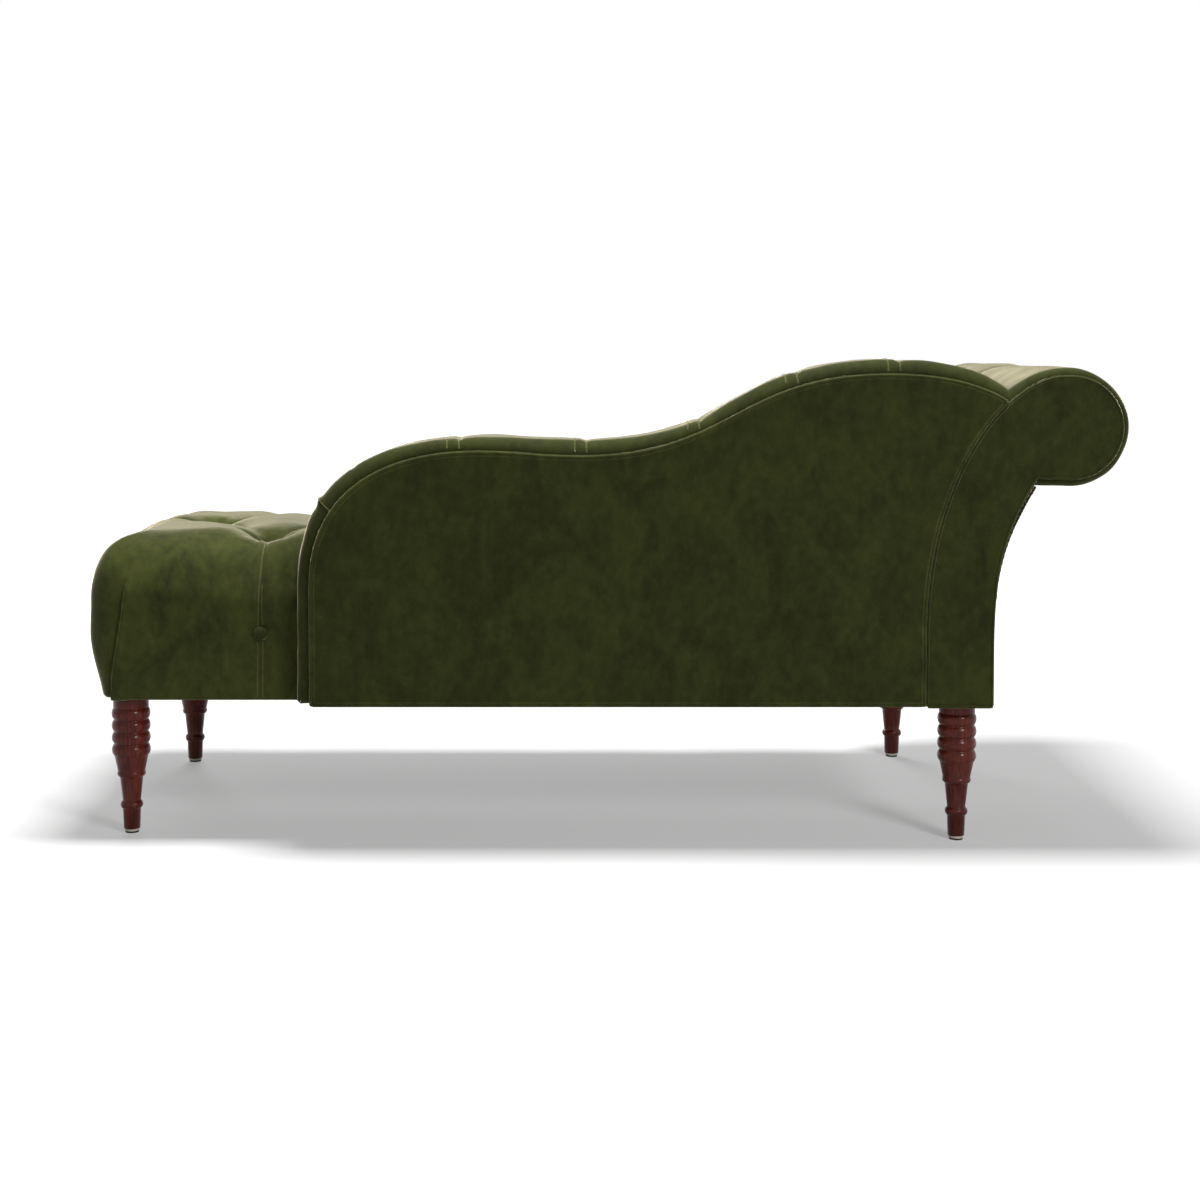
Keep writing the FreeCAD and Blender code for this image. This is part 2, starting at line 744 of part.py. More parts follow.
def end_panel(way):
    """Board, wadding, velvet and welt that close one end of the arm."""
    whole = slab(arm_edges(0), rear_y - panel, rear_y)
    above = everything(base_z + welt_wide, 2 * high_hump_z)
    hole = slab(arm_edges(-welt_wide, -welt_wide), 0, 2 * rear_y).common(above)
    pieces = {
        "board": slab(arm_edges(0), wrap_y, rear_y - panel),
        "wadding": hole.common(box(2 * roll_x, 0, rear_y - panel, panel_y - cover, 0, 2 * high_hump_z)),
        "cover": hole.common(box(2 * roll_x, 0, panel_y - cover, panel_y, 0, 2 * high_hump_z)),
        "welt": whole.cut(hole),
    }
    if way < 0:
        pieces = {name: shape.mirror(V(0, 0, 0), V(0, 1, 0)) for name, shape in pieces.items()}
    return pieces


def arm_parts():
    core = arm_slab(wood_in + roll_board, 0, rear_y)
    rooms = [
        box(neck_x, arm_middle_x, -rear_y, rear_y, 0, neck_z + arm_pad - arm_swell),
        box(2 * roll_x, arm_middle_x, -rear_y, rear_y, 0, outer_flare_z),
        box(arm_middle_x, frame_head_x + 2 * arm_pad, -rail_outer_y, rail_outer_y, 0, rail_top_z),
        slab(back_edges(arch_edge), back_y0, wrap_y + 1),
    ]
    base = everything(base_z - 1, frame_z)
    shaped = carve(arm_form(0), arm_hollows(0))
    filled = carve(arm_form(cover), arm_hollows(cover))
    tufts = arm_tufts()
    deep = arm_tuft_depth
    buttons = [button(p - out * deep, out) for p, out in tufts]
    twines = []
    for p, out in tufts:
        twines.append(rod(twine_r, p - out * (arm_pad - 0.5), p - out * deep))
    inner = arm_wood(arm_edges(wood_in), -wrap_y, wrap_y)
    lining = arm_slab(wood_in + roll_board).common(everything(frame_z, 2 * high_hump_z))
    lining = carve(lining.cut(inner), rooms[:3])
    plank = arm_edges(wood_in, -board)
    t = stretcher_thick
    wood_r = roll_r + wood_in
    middle, out = arm_point((rail_top_z + arm_low_tuft_z) / 2)
    inner_x = middle.x - arm_pad - roll_board - 1
    places = [
        (roll_x - slat / 2, roll_x + slat / 2, roll_z + wood_r - t, roll_z + wood_r),
        (roll_x - wood_r, roll_x - wood_r + t, roll_z - slat / 2, roll_z + slat / 2),
        (neck_x - slat, neck_x, roll_z - wood_r, roll_z - wood_r + t),
        (inner_x - 1.5 * t, inner_x, middle.z - slat / 2, middle.z + slat / 2),
        (arm_wood_x, arm_wood_x + t, frame_z, frame_z + slat),
    ]
    reach = arm_ply_y
    within = arm_wood(plank, -reach, reach)
    stretchers = [box(x0, x1, -reach, reach, z0, z1).common(within) for x0, x1, z0, z1 in places[:4]]
    x0, x1, z0, z1 = places[4]
    stretchers.append(box(x0, x1, block - reach, reach - block, z0, z1))
    found = {
        "arm_cover": carve(shaped.cut(filled), rooms),
        "arm_foam": carve(filled, [core, base] + rooms + twines),
        "arm_buttons": group(buttons),
        "arm_twines": group(twines),
        "arm_roll_board": lining,
        "arm_frame_rear": arm_wood(plank, arm_ply_y, wrap_y),
        "arm_frame_front": arm_wood(plank, -wrap_y, -arm_ply_y),
        "arm_stretchers": group(stretchers),
        "arm_outside_board": outside_strip(0, -board),
        "arm_outside_wadding": outside_strip(arm_side_pad - cover, 0),
        "arm_outside_cover": outside_strip(arm_side_pad, arm_side_pad - cover),
    }
    for side, way in (("rear", 1), ("front", -1)):
        for name, shape in end_panel(way).items():
            found[f"arm_end_{name}_{side}"] = shape
    return found


# Seat frame and springs
def spring():
    """One zigzag spring in a flat plane, its first run on the front rail."""
    span = rail_outer_y + rail_inner_y
    r = span / (2 * spring_bends)
    straight = spring_loop - r
    edges = []
    y = -span / 2
    for n in range(spring_bends):
        way = 1 if n % 2 == 0 else -1
        a = V(-way * straight, y, 0)
        b = V(way * straight, y, 0)
        c = V(way * straight, y + 2 * r, 0)
        edges.append(line(a, b))
        edges.append(bow(b, V(way * (straight + r), y + r, 0), c))
        y += 2 * r
    edges.append(line(c, V(-way * straight, y, 0)))
    path = Part.Wire(edges)
    ring = Part.Wire([Part.Circle(V(-straight, -span / 2, 0), V(1, 0, 0), spring_wire_r).toShape()])
    return path.makePipeShell([ring], True, False)


def seat_frame_parts():
    holes = [rod(joint_bolt_r, V(x, 0, joint_bolt_z), V(x, arm_ply_y - 5, joint_bolt_z)) for x in joint_bolt_x]
    bolts = []
    for x in joint_bolt_x:
        shank = rod(joint_bolt_r, V(x, rail_inner_y, joint_bolt_z), V(x, arm_ply_y - 5, joint_bolt_z))
        head = rod(joint_head_r, V(x, rail_inner_y - joint_head, joint_bolt_z), V(x, rail_inner_y, joint_bolt_z))
        bolts.append(shank.fuse(head))
    within = frame_room(rail_top_z)
    long_rail = box(frame_head_x, rail_foot_x, rail_inner_y, rail_outer_y, frame_z, rail_top_z).common(within)
    foot_rail = box(rail_foot_x - rail, rail_foot_x, -rail_inner_y, rail_inner_y, frame_z, rail_top_z).common(within)
    top = frame_z + block_high
    bore = [rod(bolt_r + bolt_hole, V(x, y, 0), V(x, y, top + 1)) for x, y in leg_places.values()]
    bore += [rod(tee_barrel_r, V(x, y, top - tee_barrel), V(x, y, top + 1)) for x, y in leg_places.values()]
    block_x = rail_foot_x - rail
    foot_block = box(block_x - block, block_x, rail_inner_y - block, rail_inner_y, frame_z, top)
    head_block = box(arm_wood_x, head_rail_x, arm_ply_y - block, arm_ply_y, frame_z, top)
    blocks = [carve(b, bore) for b in front_and_rear(foot_block) + front_and_rear(head_block)]
    springs = []
    clips = []
    span = (rail_outer_y + rail_inner_y) / 2
    one = spring()
    for n in range(spring_count):
        x = spring_first_x + n * spring_pitch
        springs.append(one.translated(V(x, 0, spring_z)))
        for y in (-span, span):
            clip = box(x - clip_wide / 2, x + clip_wide / 2, y - clip_deep / 2, y + clip_deep / 2, rail_top_z, deck_z)
            slot = box(x - clip_wide, x + clip_wide, y - spring_wire_r, y + spring_wire_r,
                       spring_z - spring_wire_r, spring_z + spring_wire_r)
            clips.append(clip.cut(slot))
    braces = []
    for x in brace_x:
        braces.append(box(x - rail / 2, x + rail / 2, -rail_inner_y, rail_inner_y, frame_z, frame_z + brace_high))
    return {
        "seat_rail_rear": carve(long_rail, holes),
        "seat_rail_front": front_and_rear(long_rail)[1],
        "seat_rail_foot": foot_rail,
        "seat_rail_head": box(head_rail_x, frame_head_x, -arm_ply_y, arm_ply_y, frame_z, rail_top_z),
        "seat_braces": group(braces),
        "corner_blocks": group(blocks),
        "joint_bolts": group(bolts),
        "seat_springs": group(springs),
        "spring_clips": group(clips),
    }


def underside_parts():
    inset = cloth_edge
    within = seat_half_width - return_width
    cloth_z = frame_z - cloth
    sheet = box(arm_wood_x + inset, foot_low_x - return_width, -within, within, cloth_z, frame_z)
    sheet = sheet.fuse(box(arm_wood_x + inset, frame_head_x, inset - wrap_y, wrap_y - inset, cloth_z, frame_z))
    sheet = sheet.fuse(box(arm_wood_x + inset, back_end_x - return_width, 0, wrap_y - inset, cloth_z, frame_z))
    sheet = sheet.removeSplitter()
    sheet = carve(sheet, [rod(bolt_r + bolt_hole, V(x, y, 0), V(x, y, crown_z)) for x, y in leg_places.values()])
    z = cloth_z - staple_r
    staples = []
    first = frame_head_x + staple_pitch / 2
    count = int((back_end_x - first) / staple_pitch)
    for n in range(count):
        x = first + n * staple_pitch
        for y in (staple_wide - within, wrap_y - staple_wide):
            staples.append(rod(staple_r, V(x - staple_wide / 2, y, z), V(x + staple_wide / 2, y, z)))
    across = int(within / staple_pitch)
    for n in range(-across, across + 1):
        for x in (arm_wood_x + staple_wide, foot_low_x - return_width - staple_wide):
            y = n * staple_pitch * 0.85
            staples.append(rod(staple_r, V(x, y - staple_wide / 2, z), V(x, y + staple_wide / 2, z)))
    return {"dust_cover": sheet, "dust_cover_staples": group(staples)}


# Legs
def leg_profile():
    """Half section of a turned leg, from the toe up to the flat top."""
    ring = leg_ring_pitch / 2
    low_ring_z = leg_ring_top_z - (leg_rings - 1) * leg_ring_pitch
    ankle_low = leg_ankle_z - leg_ankle_half
    ankle_high = leg_ankle_z + leg_ankle_half
    bead_low = leg_bead_z - leg_bead_half
    bead_high = leg_bead_z + leg_bead_half
    edges = [
        line(xz(0, toe_z), xz(leg_toe_r, toe_z)),
        line(xz(leg_toe_r, toe_z), xz(leg_neck_r, ankle_low)),
        bow(xz(leg_neck_r, ankle_low), xz(leg_ankle_r, leg_ankle_z), xz(leg_neck_r, ankle_high)),
        line(xz(leg_neck_r, ankle_high), xz(leg_shin_r, bead_low)),
        bow(xz(leg_shin_r, bead_low), xz(leg_bead_r, leg_bead_z), xz(leg_belly_r, bead_high)),
        line(xz(leg_belly_r, bead_high), xz(leg_groove_r, low_ring_z - ring)),
    ]
    for n in range(leg_rings):
        z = low_ring_z + n * leg_ring_pitch
        edges.append(bow(xz(leg_groove_r, z - ring), xz(leg_ring_r, z), xz(leg_groove_r, z + ring)))
    collar_z = leg_ring_top_z + ring
    edges += [
        line(xz(leg_groove_r, collar_z), xz(leg_collar_r, collar_z)),
        line(xz(leg_collar_r, collar_z), xz(leg_collar_r, leg_top_z)),
        line(xz(leg_collar_r, leg_top_z), xz(0, leg_top_z)),
        line(xz(0, leg_top_z), xz(0, toe_z)),
    ]
    return edges


def leg_parts():
    up = V(0, 0, 1)
    found = {}
    bolts = []
    nuts = []
    rings = []
    pads = []
    top = frame_z + block_high
    for name, (x, y) in leg_places.items():
        bolt = rod(bolt_r, V(x, y, leg_top_z - bolt_in_leg), V(x, y, top + bolt_above))
        nail = rod(glide_nail_r, V(x, y, toe_z - 1), V(x, y, toe_z + glide_nail))
        nut = rod(tee_barrel_r, V(x, y, top - tee_barrel), V(x, y, top))
        nut = nut.fuse(rod(tee_flange_r, V(x, y, top), V(x, y, top + tee_flange)))
        found[name] = turned(leg_profile(), V(x, y, 0), up).cut([bolt, nail])
        bolts.append(bolt)
        nuts.append(nut.cut(bolt))
        rings.append(rod(glide_ring_r, V(x, y, glide_pad), V(x, y, toe_z)).fuse(nail))
        pads.append(rod(glide_pad_r, V(x, y, 0), V(x, y, glide_pad)))
    found["hanger_bolts"] = group(bolts)
    found["tee_nuts"] = group(nuts)
    found["glide_rings"] = group(rings)
    found["glide_pads"] = group(pads)
    return found


def write(parts):
    os.makedirs("parts", exist_ok=True)
    for name, shape in parts.items():
        shape.exportStep(f"parts/{name}.step")


if __name__ == "__main__":
    for make in (leg_parts, underside_parts, seat_frame_parts, arm_parts, seat_parts, back_parts):
        write(make())
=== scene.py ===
import math

import bmesh
import bpy
import numpy as np
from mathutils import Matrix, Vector
from mathutils.bvhtree import BVHTree
from mathutils.kdtree import KDTree


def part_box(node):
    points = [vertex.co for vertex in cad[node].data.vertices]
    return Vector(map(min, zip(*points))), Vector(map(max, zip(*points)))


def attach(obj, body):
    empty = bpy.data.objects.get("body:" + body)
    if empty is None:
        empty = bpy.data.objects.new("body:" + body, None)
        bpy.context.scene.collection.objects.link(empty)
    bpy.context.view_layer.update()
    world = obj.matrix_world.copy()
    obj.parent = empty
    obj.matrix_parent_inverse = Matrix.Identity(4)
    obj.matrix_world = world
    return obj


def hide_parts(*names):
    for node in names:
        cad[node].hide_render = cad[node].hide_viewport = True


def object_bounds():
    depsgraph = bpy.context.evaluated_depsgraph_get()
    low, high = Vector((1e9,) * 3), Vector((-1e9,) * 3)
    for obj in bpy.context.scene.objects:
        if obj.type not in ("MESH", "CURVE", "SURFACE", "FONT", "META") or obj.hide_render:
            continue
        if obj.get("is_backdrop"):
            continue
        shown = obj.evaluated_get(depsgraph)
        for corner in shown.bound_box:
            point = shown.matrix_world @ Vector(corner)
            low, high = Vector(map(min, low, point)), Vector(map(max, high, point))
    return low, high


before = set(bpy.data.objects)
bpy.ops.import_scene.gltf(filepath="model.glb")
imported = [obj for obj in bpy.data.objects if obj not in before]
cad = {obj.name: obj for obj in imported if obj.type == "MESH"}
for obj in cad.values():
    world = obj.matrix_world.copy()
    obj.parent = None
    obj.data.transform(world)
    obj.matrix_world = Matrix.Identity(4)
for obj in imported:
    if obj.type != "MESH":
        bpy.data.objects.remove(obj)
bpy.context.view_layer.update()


# Wooden frame: seat rails, braces and corner blocks, the back's posts and bottom rail and the arm's stretchers.
# Planed beech, glued and stapled. The covers hide all of it; it shows only where the model is taken apart.
def colour(hex_code):
    """Linear colour of an sRGB hex value."""
    parts = [int(hex_code[i:i + 2], 16) / 255 for i in (0, 2, 4)]
    return [p / 12.92 if p <= 0.04045 else ((p + 0.055) / 1.055) ** 2.4 for p in parts] + [1.0]


def add(tree, kind, inputs=None, **settings):
    """Adds a node, sets its properties, and sets or links its inputs."""
    made = tree.nodes.new(kind)
    for key, value in settings.items():
        setattr(made, key, value)
    for key, value in (inputs or {}).items():
        if isinstance(value, bpy.types.NodeSocket):
            tree.links.new(value, made.inputs[key])
        else:
            made.inputs[key].default_value = value
    return made


def finish(name, **constants):
    """An empty material: its tree, its Principled shader and object coordinates in metres."""
    material = bpy.data.materials.new(name)
    material.use_nodes = True
    tree = material.node_tree
    tree.nodes.clear()
    shader = add(tree, "ShaderNodeBsdfPrincipled", constants)
    add(tree, "ShaderNodeOutputMaterial", {"Surface": shader.outputs["BSDF"]})
    place = add(tree, "ShaderNodeTexCoord").outputs["Object"]
    return material, tree, shader, place


def stretched(tree, place, scale):
    """The same coordinates, scaled along each axis."""
    return add(tree, "ShaderNodeMapping", {"Vector": place, "Scale": scale}).outputs["Vector"]


def noise(tree, place, scale, detail, **more):
    """A cloudy pattern of values from 0 to 1."""
    made = add(tree, "ShaderNodeTexNoise", {"Vector": place, "Scale": scale, "Detail": detail, **more})
    return made.outputs["Fac"]


def between(tree, value, low, high, start=0.0, end=1.0):
    """A value between start and end brought to another range."""
    made = add(tree, "ShaderNodeMapRange", {"Value": value, "From Min": start, "From Max": end, "To Min": low,
                                            "To Max": high})
    return made.outputs["Result"]


def blend(tree, value, first, second):
    """The colour between two hex values."""
    made = add(tree, "ShaderNodeMix", {"Factor": value, "A": colour(first), "B": colour(second)}, data_type="RGBA")
    return made.outputs["Result"]


def relief(tree, height, strength, depth, **more):
    """The direction of a surface that a pattern raises, with its depth in metres."""
    made = add(tree, "ShaderNodeBump", {"Height": height, "Strength": strength, "Distance": depth, **more})
    return made.outputs["Normal"]


def dress(tree, shader, tone, normal, rough=None):
    """Links a colour, a relief and, where it varies, a roughness to the shader."""
    tree.links.new(tone, shader.inputs["Base Color"])
    tree.links.new(normal, shader.inputs["Normal"])
    if rough is not None:
        tree.links.new(rough, shader.inputs["Roughness"])


def paint(material, *names):
    for name in names:
        cad[name].data.materials.clear()
        cad[name].data.materials.append(material)


def timber(name, light, dark, stretch, rough):
    """Planed wood: long grain along one direction, with finer pores in it."""
    material, tree, shader, place = finish(name, IOR=1.5)
    along = stretched(tree, place, stretch)
    grain = noise(tree, along, 60.0, 6.0, Distortion=0.6)
    pores = noise(tree, along, 420.0, 3.0)
    dress(tree, shader, blend(tree, grain, light, dark), relief(tree, pores, 0.3, 0.0004),
          between(tree, pores, rough - 0.1, rough + 0.1))
    return material


beech = timber("beech_planed", "c9a578", "a67c4f", (0.08, 1.0, 1.0), 0.6)
paint(beech, "seat_rail_rear", "seat_rail_front", "seat_rail_foot", "seat_rail_head", "seat_braces",
      "corner_blocks", "back_posts", "back_bottom_rail", "arm_stretchers")

# Arches of the back and scroll frames of the arm, sawn from birch plywood, and the pressed boards nailed over them.
# Plywood shows a broad pale figure; the pressed board is brown and even.
birch_plywood = timber("birch_plywood", "d3b585", "b8925f", (0.25, 1.0, 0.25), 0.55)
paint(birch_plywood, "back_arch_rear", "back_arch_front", "arm_frame_rear", "arm_frame_front")
pressed_board = timber("pressed_fibreboard", "6f5138", "5a3f2a", (1.0, 1.0, 1.0), 0.7)
paint(pressed_board, "back_outer_board", "arm_outside_board", "arm_end_board_rear", "arm_end_board_front",
      "arm_roll_board")


# Zigzag springs of oiled wire, held by clips on the rails, with the joint bolts, hanger bolts, tee nuts and staples.
# Oiled wire is dark and smooth; zinc plating is pale with a fine cloudy grain.
def speckled(name, light, dark, rough, scale, **constants):
    """A smooth hard surface with a fine cloudy grain."""
    material, tree, shader, place = finish(name, **constants)
    cloud = noise(tree, place, scale, 4.0)
    dress(tree, shader, blend(tree, cloud, light, dark), relief(tree, cloud, 0.2, 0.0002),
          between(tree, cloud, rough - 0.08, rough + 0.08))
    return material


paint(speckled("oiled_spring_steel", "6a6a6c", "4a4a4d", 0.38, 300.0, Metallic=1.0), "seat_springs")
paint(speckled("zinc_plating", "c9ccd0", "a9adb2", 0.34, 300.0, Metallic=1.0), "spring_clips", "joint_bolts",
      "hanger_bolts", "tee_nuts", "dust_cover_staples")


# Felt over the springs, webbing across the back, and the waxed twines that pull the buttons down.
# Needled felt is a matted tangle; webbing and twine are spun, with a rib across their length.
def spun(name, light, dark, scale, stretch, depth):
    """Dull cloth or felt, its pattern stretched along its threads."""
    material, tree, shader, place = finish(name, **{
        "Roughness": 0.95, "Sheen Weight": 0.3, "Specular IOR Level": 0.2})
    mat = noise(tree, stretched(tree, place, stretch), scale, 5.0, Distortion=1.2)
    dress(tree, shader, blend(tree, mat, light, dark), relief(tree, mat, 0.5, depth))
    return material


paint(spun("needled_felt", "8d8a84", "5f5c58", 260.0, (1.0, 1.0, 1.0), 0.001), "deck_felt")
paint(spun("elastic_webbing", "9c8763", "6f5c3f", 500.0, (0.3, 1.0, 1.0), 0.0006), "back_webbing")
paint(spun("waxed_flax_twine", "d6ceb2", "a99f80", 900.0, (1.0, 1.0, 0.4), 0.0003), "seat_twines", "back_twines",
      "arm_twines")

# Velvet of all the covers: a short cut cotton pile in dark olive. The pile takes light along its edges, so what
# faces the light at a slant looks pale and grey, and what faces the eye looks deep. Handling leaves cloudy marks.
# The pile's own threads, 0.3 mm apart, are too fine to show, so its grain is drawn at 1.2 mm.
def pile_cloth(name, deep, pale):
    material, tree, shader, place = finish(name, **{
        "Sheen Weight": 1.0, "Sheen Roughness": 0.3, "Sheen Tint": colour("f4e8c8"), "Specular IOR Level": 0.08})
    drift = stretched(tree, place, (1.0, 1.0, 0.7))
    marks = noise(tree, drift, 13.0, 5.0, Roughness=0.6, Distortion=0.8)
    cloud = noise(tree, drift, 70.0, 4.0, Roughness=0.65)
    pile = noise(tree, place, 850.0, 2.0)
    mixed = add(tree, "ShaderNodeMix", {"Factor": 0.4, "A": marks, "B": cloud}, data_type="FLOAT")
    mottle = mixed.outputs["Result"]
    tone = blend(tree, between(tree, mottle, 0.0, 1.0, 0.36, 0.64), deep, pale)
    shade = add(tree, "ShaderNodeVectorMath", {0: tone, "Scale": between(tree, pile, 0.75, 1.25)}, operation="SCALE")
    nap = relief(tree, pile, 0.35, 0.0005, Normal=relief(tree, mottle, 0.5, 0.0025))
    dress(tree, shader, shade.outputs["Vector"], nap, between(tree, marks, 0.72, 0.95))
    return material


velvet = pile_cloth("cut_pile_velvet", "22260d", "343918")
# A paler copy of the velvet for cords and folded edges: painted highlight standing in for the light the pile catches
# over a fold.
highlight_velvet = pile_cloth("velvet_painted_highlight", "3b3e1c", "53562d")
# A lighter copy of the velvet for the seat and the back's welt: painted light, standing in for the brighter light
# they catch.
painted_light_velvet = pile_cloth("cut_pile_velvet_painted_light", "262a11", "40451f")

# Seat: one piece of velvet over foam and wadding, pulled down by fifteen buttons in a diamond and stapled under
# the rails. Folded pleats join the buttons; straight ones run over the edges to buttons on the sides and the foot.
MM = 0.001
# The seat in mm: its base, its crown's top and fall and the bulge of its face, then half its width, its head end,
# its foot end's face and how far that tucks in below the bulge, and the radii of its top edge and upright corners.
base_z, crown_z, crown_drop, bulge_z = 217.0, 477.0, 10.0, 355.0
seat_half, seat_head_x, foot_x, foot_tuck = 300.0, -508.0, 802.0, 19.0
edge_round, corner_round = 98.0, 50.0
# Its buttons: a row along the middle, one to each side of it, and one lower down at the end of each straight pleat.
button_r, button_step, tuft_y, side_button_z = 10.0, 232.0, 195.0, 321.0
middle_x = [645.0 - button_step * n for n in range(5)]
outer_x = [529.0 - button_step * n for n in range(5)]
creases = [(a, b) for a in middle_x for b in outer_x if abs(abs(a - b) - button_step / 2) < 1]
top_sink, side_sink, foot_sink = 29.0, 9.0, 6.5
grid = 4.0


def placed(name, data):
    """A new object in the scene."""
    thing = bpy.data.objects.new(name, data)
    bpy.context.collection.objects.link(thing)
    return thing


def meshed(block, name):
    """The mesh of a block, its faces turned outward."""
    bmesh.ops.recalc_face_normals(block, faces=block.faces)
    mesh = bpy.data.meshes.new(name)
    block.to_mesh(mesh)
    block.free()
    return mesh


def built(thing):
    """The mesh that an object's modifiers make of it."""
    return bpy.data.meshes.new_from_object(thing.evaluated_get(bpy.context.evaluated_depsgraph_get()))


def rough_solid(name, runs, size):
    """One closed mesh of even squares round rough solids, each an outline in X and Z between two depths, in mm."""
    block = bmesh.new()
    for outline, y0, y1 in runs:
        rings = [[block.verts.new(Vector((x, y, z)) * MM) for x, z in outline] for y in (y0, y1)]
        block.faces.new(rings[0])
        block.faces.new(reversed(rings[1]))
        for i in range(len(outline)):
            j = (i + 1) % len(outline)
            block.faces.new((rings[0][j], rings[0][i], rings[1][i], rings[1][j]))
    thing = placed(name, meshed(block, name))
    even = thing.modifiers.new("even", "REMESH")
    even.mode = "VOXEL"
    even.voxel_size = size * MM
    even.use_smooth_shade = True
    made = built(thing)
    thing.modifiers.clear()
    thing.data = made
    made.materials.clear()
    made.materials.append(velvet)
    return thing


def read(thing):
    flat = np.zeros(len(thing.data.vertices) * 3)
    thing.data.vertices.foreach_get("co", flat)
    return flat.reshape(-1, 3) / MM


def write(thing, points):
    thing.data.vertices.foreach_set("co", (points * MM).ravel())
    thing.data.update()
    thing.data.polygons.foreach_set("use_smooth", np.ones(len(thing.data.polygons), bool))


def plane(points, normal, away):
    """Distance above a plane, with its direction."""
    n = np.array(normal, float)
    return points @ n - away, np.broadcast_to(n, points.shape)


def both(a, b, r=0.0):
    """What lies inside two forms, with the edge between them rounded to r."""
    (da, na), (db, nb) = a, b
    u, v = np.maximum(da + r, 0), np.maximum(db + r, 0)
    h = np.hypot(u, v)
    d = np.minimum(np.maximum(da, db), -r) + h
    wa = np.where(h > 1e-9, u / np.maximum(h, 1e-9), da >= db)[:, None]
    wb = np.where(h > 1e-9, v / np.maximum(h, 1e-9), da < db)[:, None]
    n = na * wa + nb * wb
    return d, n / np.maximum(np.linalg.norm(n, axis=1), 1e-9)[:, None]


def settle(points, form, steps=7):
    """Brings points onto a form; gives them with the outward direction there."""
    points = points.copy()
    for _ in range(steps):
        d, n = form(points)
        points -= np.clip(d, -12, 12)[:, None] * n
    return points, form(points)[1]


def seat_form(p):
    radius = (seat_half ** 2 + crown_drop ** 2) / (2 * crown_drop)
    lift = p[:, 2] - (crown_z - radius)
    away = np.hypot(p[:, 1], lift)
    top = away - radius, np.stack([0 * away, p[:, 1] / away, lift / away], axis=1)
    under = np.clip((bulge_z - p[:, 2]) / (bulge_z - base_z), 0, 1.05)
    lean = 1.84 * foot_tuck / (bulge_z - base_z) * under ** 0.84
    long = np.hypot(1, lean)
    foot = ((p[:, 0] - foot_x + foot_tuck * under ** 1.84) / long,
            np.stack([1 / long, 0 * long, -lean / long], axis=1))
    side = np.abs(p[:, 1]) - seat_half, np.stack([0 * away, np.sign(p[:, 1]), 0 * away], axis=1)
    form = both(both(foot, side, corner_round), top, edge_round)
    form = both(form, plane(p, (0, 0, -1), -base_z), 5)
    return both(form, plane(p, (-1, 0, 0), -seat_head_x), 5)


def fall(gap, reach, power=2.2):
    """1 at a crease and 0 at its reach, with a rounded shoulder between."""
    return np.clip(1 - np.abs(gap) / reach, 0, 1) ** power


def ease(value, start, end):
    t = np.clip((value - start) / (end - start), 0, 1)
    return t * t * (3 - 2 * t)


def beside(u, v, a, b):
    """How far points lie from a straight run, and how far along it they are, from 0 to 1."""
    du, dv = b[0] - a[0], b[1] - a[1]
    t = ((u - a[0]) * du + (v - a[1]) * dv) / (du * du + dv * dv)
    t = np.clip(t, 0, 1)
    return np.hypot(u - a[0] - t * du, v - a[1] - t * dv), t


def pool(dents, power=3.0):
    """Joins dents so that where two meet the deeper leads and neither shows a step."""
    return sum(d ** power for d in dents) ** (1 / power)


def gathers(u, v, centre, count, seed, depth, length):
    """Small folds that run out from a button at uneven angles."""
    pick = np.random.default_rng(seed)
    du, dv = u - centre[0], v - centre[1]
    found = np.zeros_like(du)
    for n in range(count):
        angle = 2 * math.pi * (n + pick.uniform(-0.3, 0.3)) / count
        along = du * math.cos(angle) + dv * math.sin(angle)
        bend = pick.uniform(-0.0022, 0.0022) * along ** 2
        across = -du * math.sin(angle) + dv * math.cos(angle) - bend
        reach = length * pick.uniform(0.6, 1.25)
        line = np.exp(-(across / 4.2) ** 2) * np.exp(-((along - 20) / reach) ** 2)
        found += np.where(along > 0, depth * pick.uniform(0.5, 1.2) * line, 0)
    return 1.6 * found


def waves(p, seed, length, height):
    """Soft unevenness of hand-laid padding: a few long waves in all directions."""
    pick = np.random.default_rng(seed)
    found = 0
    for _ in range(9):
        d = pick.normal(size=3)
        d *= 2 * math.pi / (length * pick.uniform(0.7, 1.6)) / np.linalg.norm(d)
        found = found + np.sin(p @ d + pick.uniform(0, 6.3))
    return height * found / 3
def hollow(depth, u, v, reach, power):
    """The hollow that a button pulls into the padding round it."""
    return depth * fall(np.maximum(np.hypot(u, v) - button_r, 0), reach, power)


def pleat(on, gap, path, deep, reach, power=2.2):
    """The valley of a straight pleat. Its depth and reach are given as last value, gain at the start and fading."""
    depth, width = (last + gain * np.exp(-path / fade) for last, gain, fade in (deep, reach))
    return on * depth * fall(gap, width, power)


def corner_fold_x(height):
    """Where the folded corner's edge stands on the seat's side; lower down it leans towards the foot end."""
    return 738 + 24 * np.clip((384 - height) / (384 - base_z), -0.4, 1)


seat = rough_solid("seat_upholstery", [(
    [(seat_head_x, base_z), (foot_x - 16, base_z), (foot_x, 300), (foot_x, 420), (foot_x - 22, 458),
     (foot_x - 70, crown_z), (seat_head_x, crown_z)], -seat_half, seat_half)], grid)
p, n = settle(read(seat), seat_form)
x, y, z = p.T
side = np.abs(y)
over = ease(n[:, 2], 0.25, 0.85)
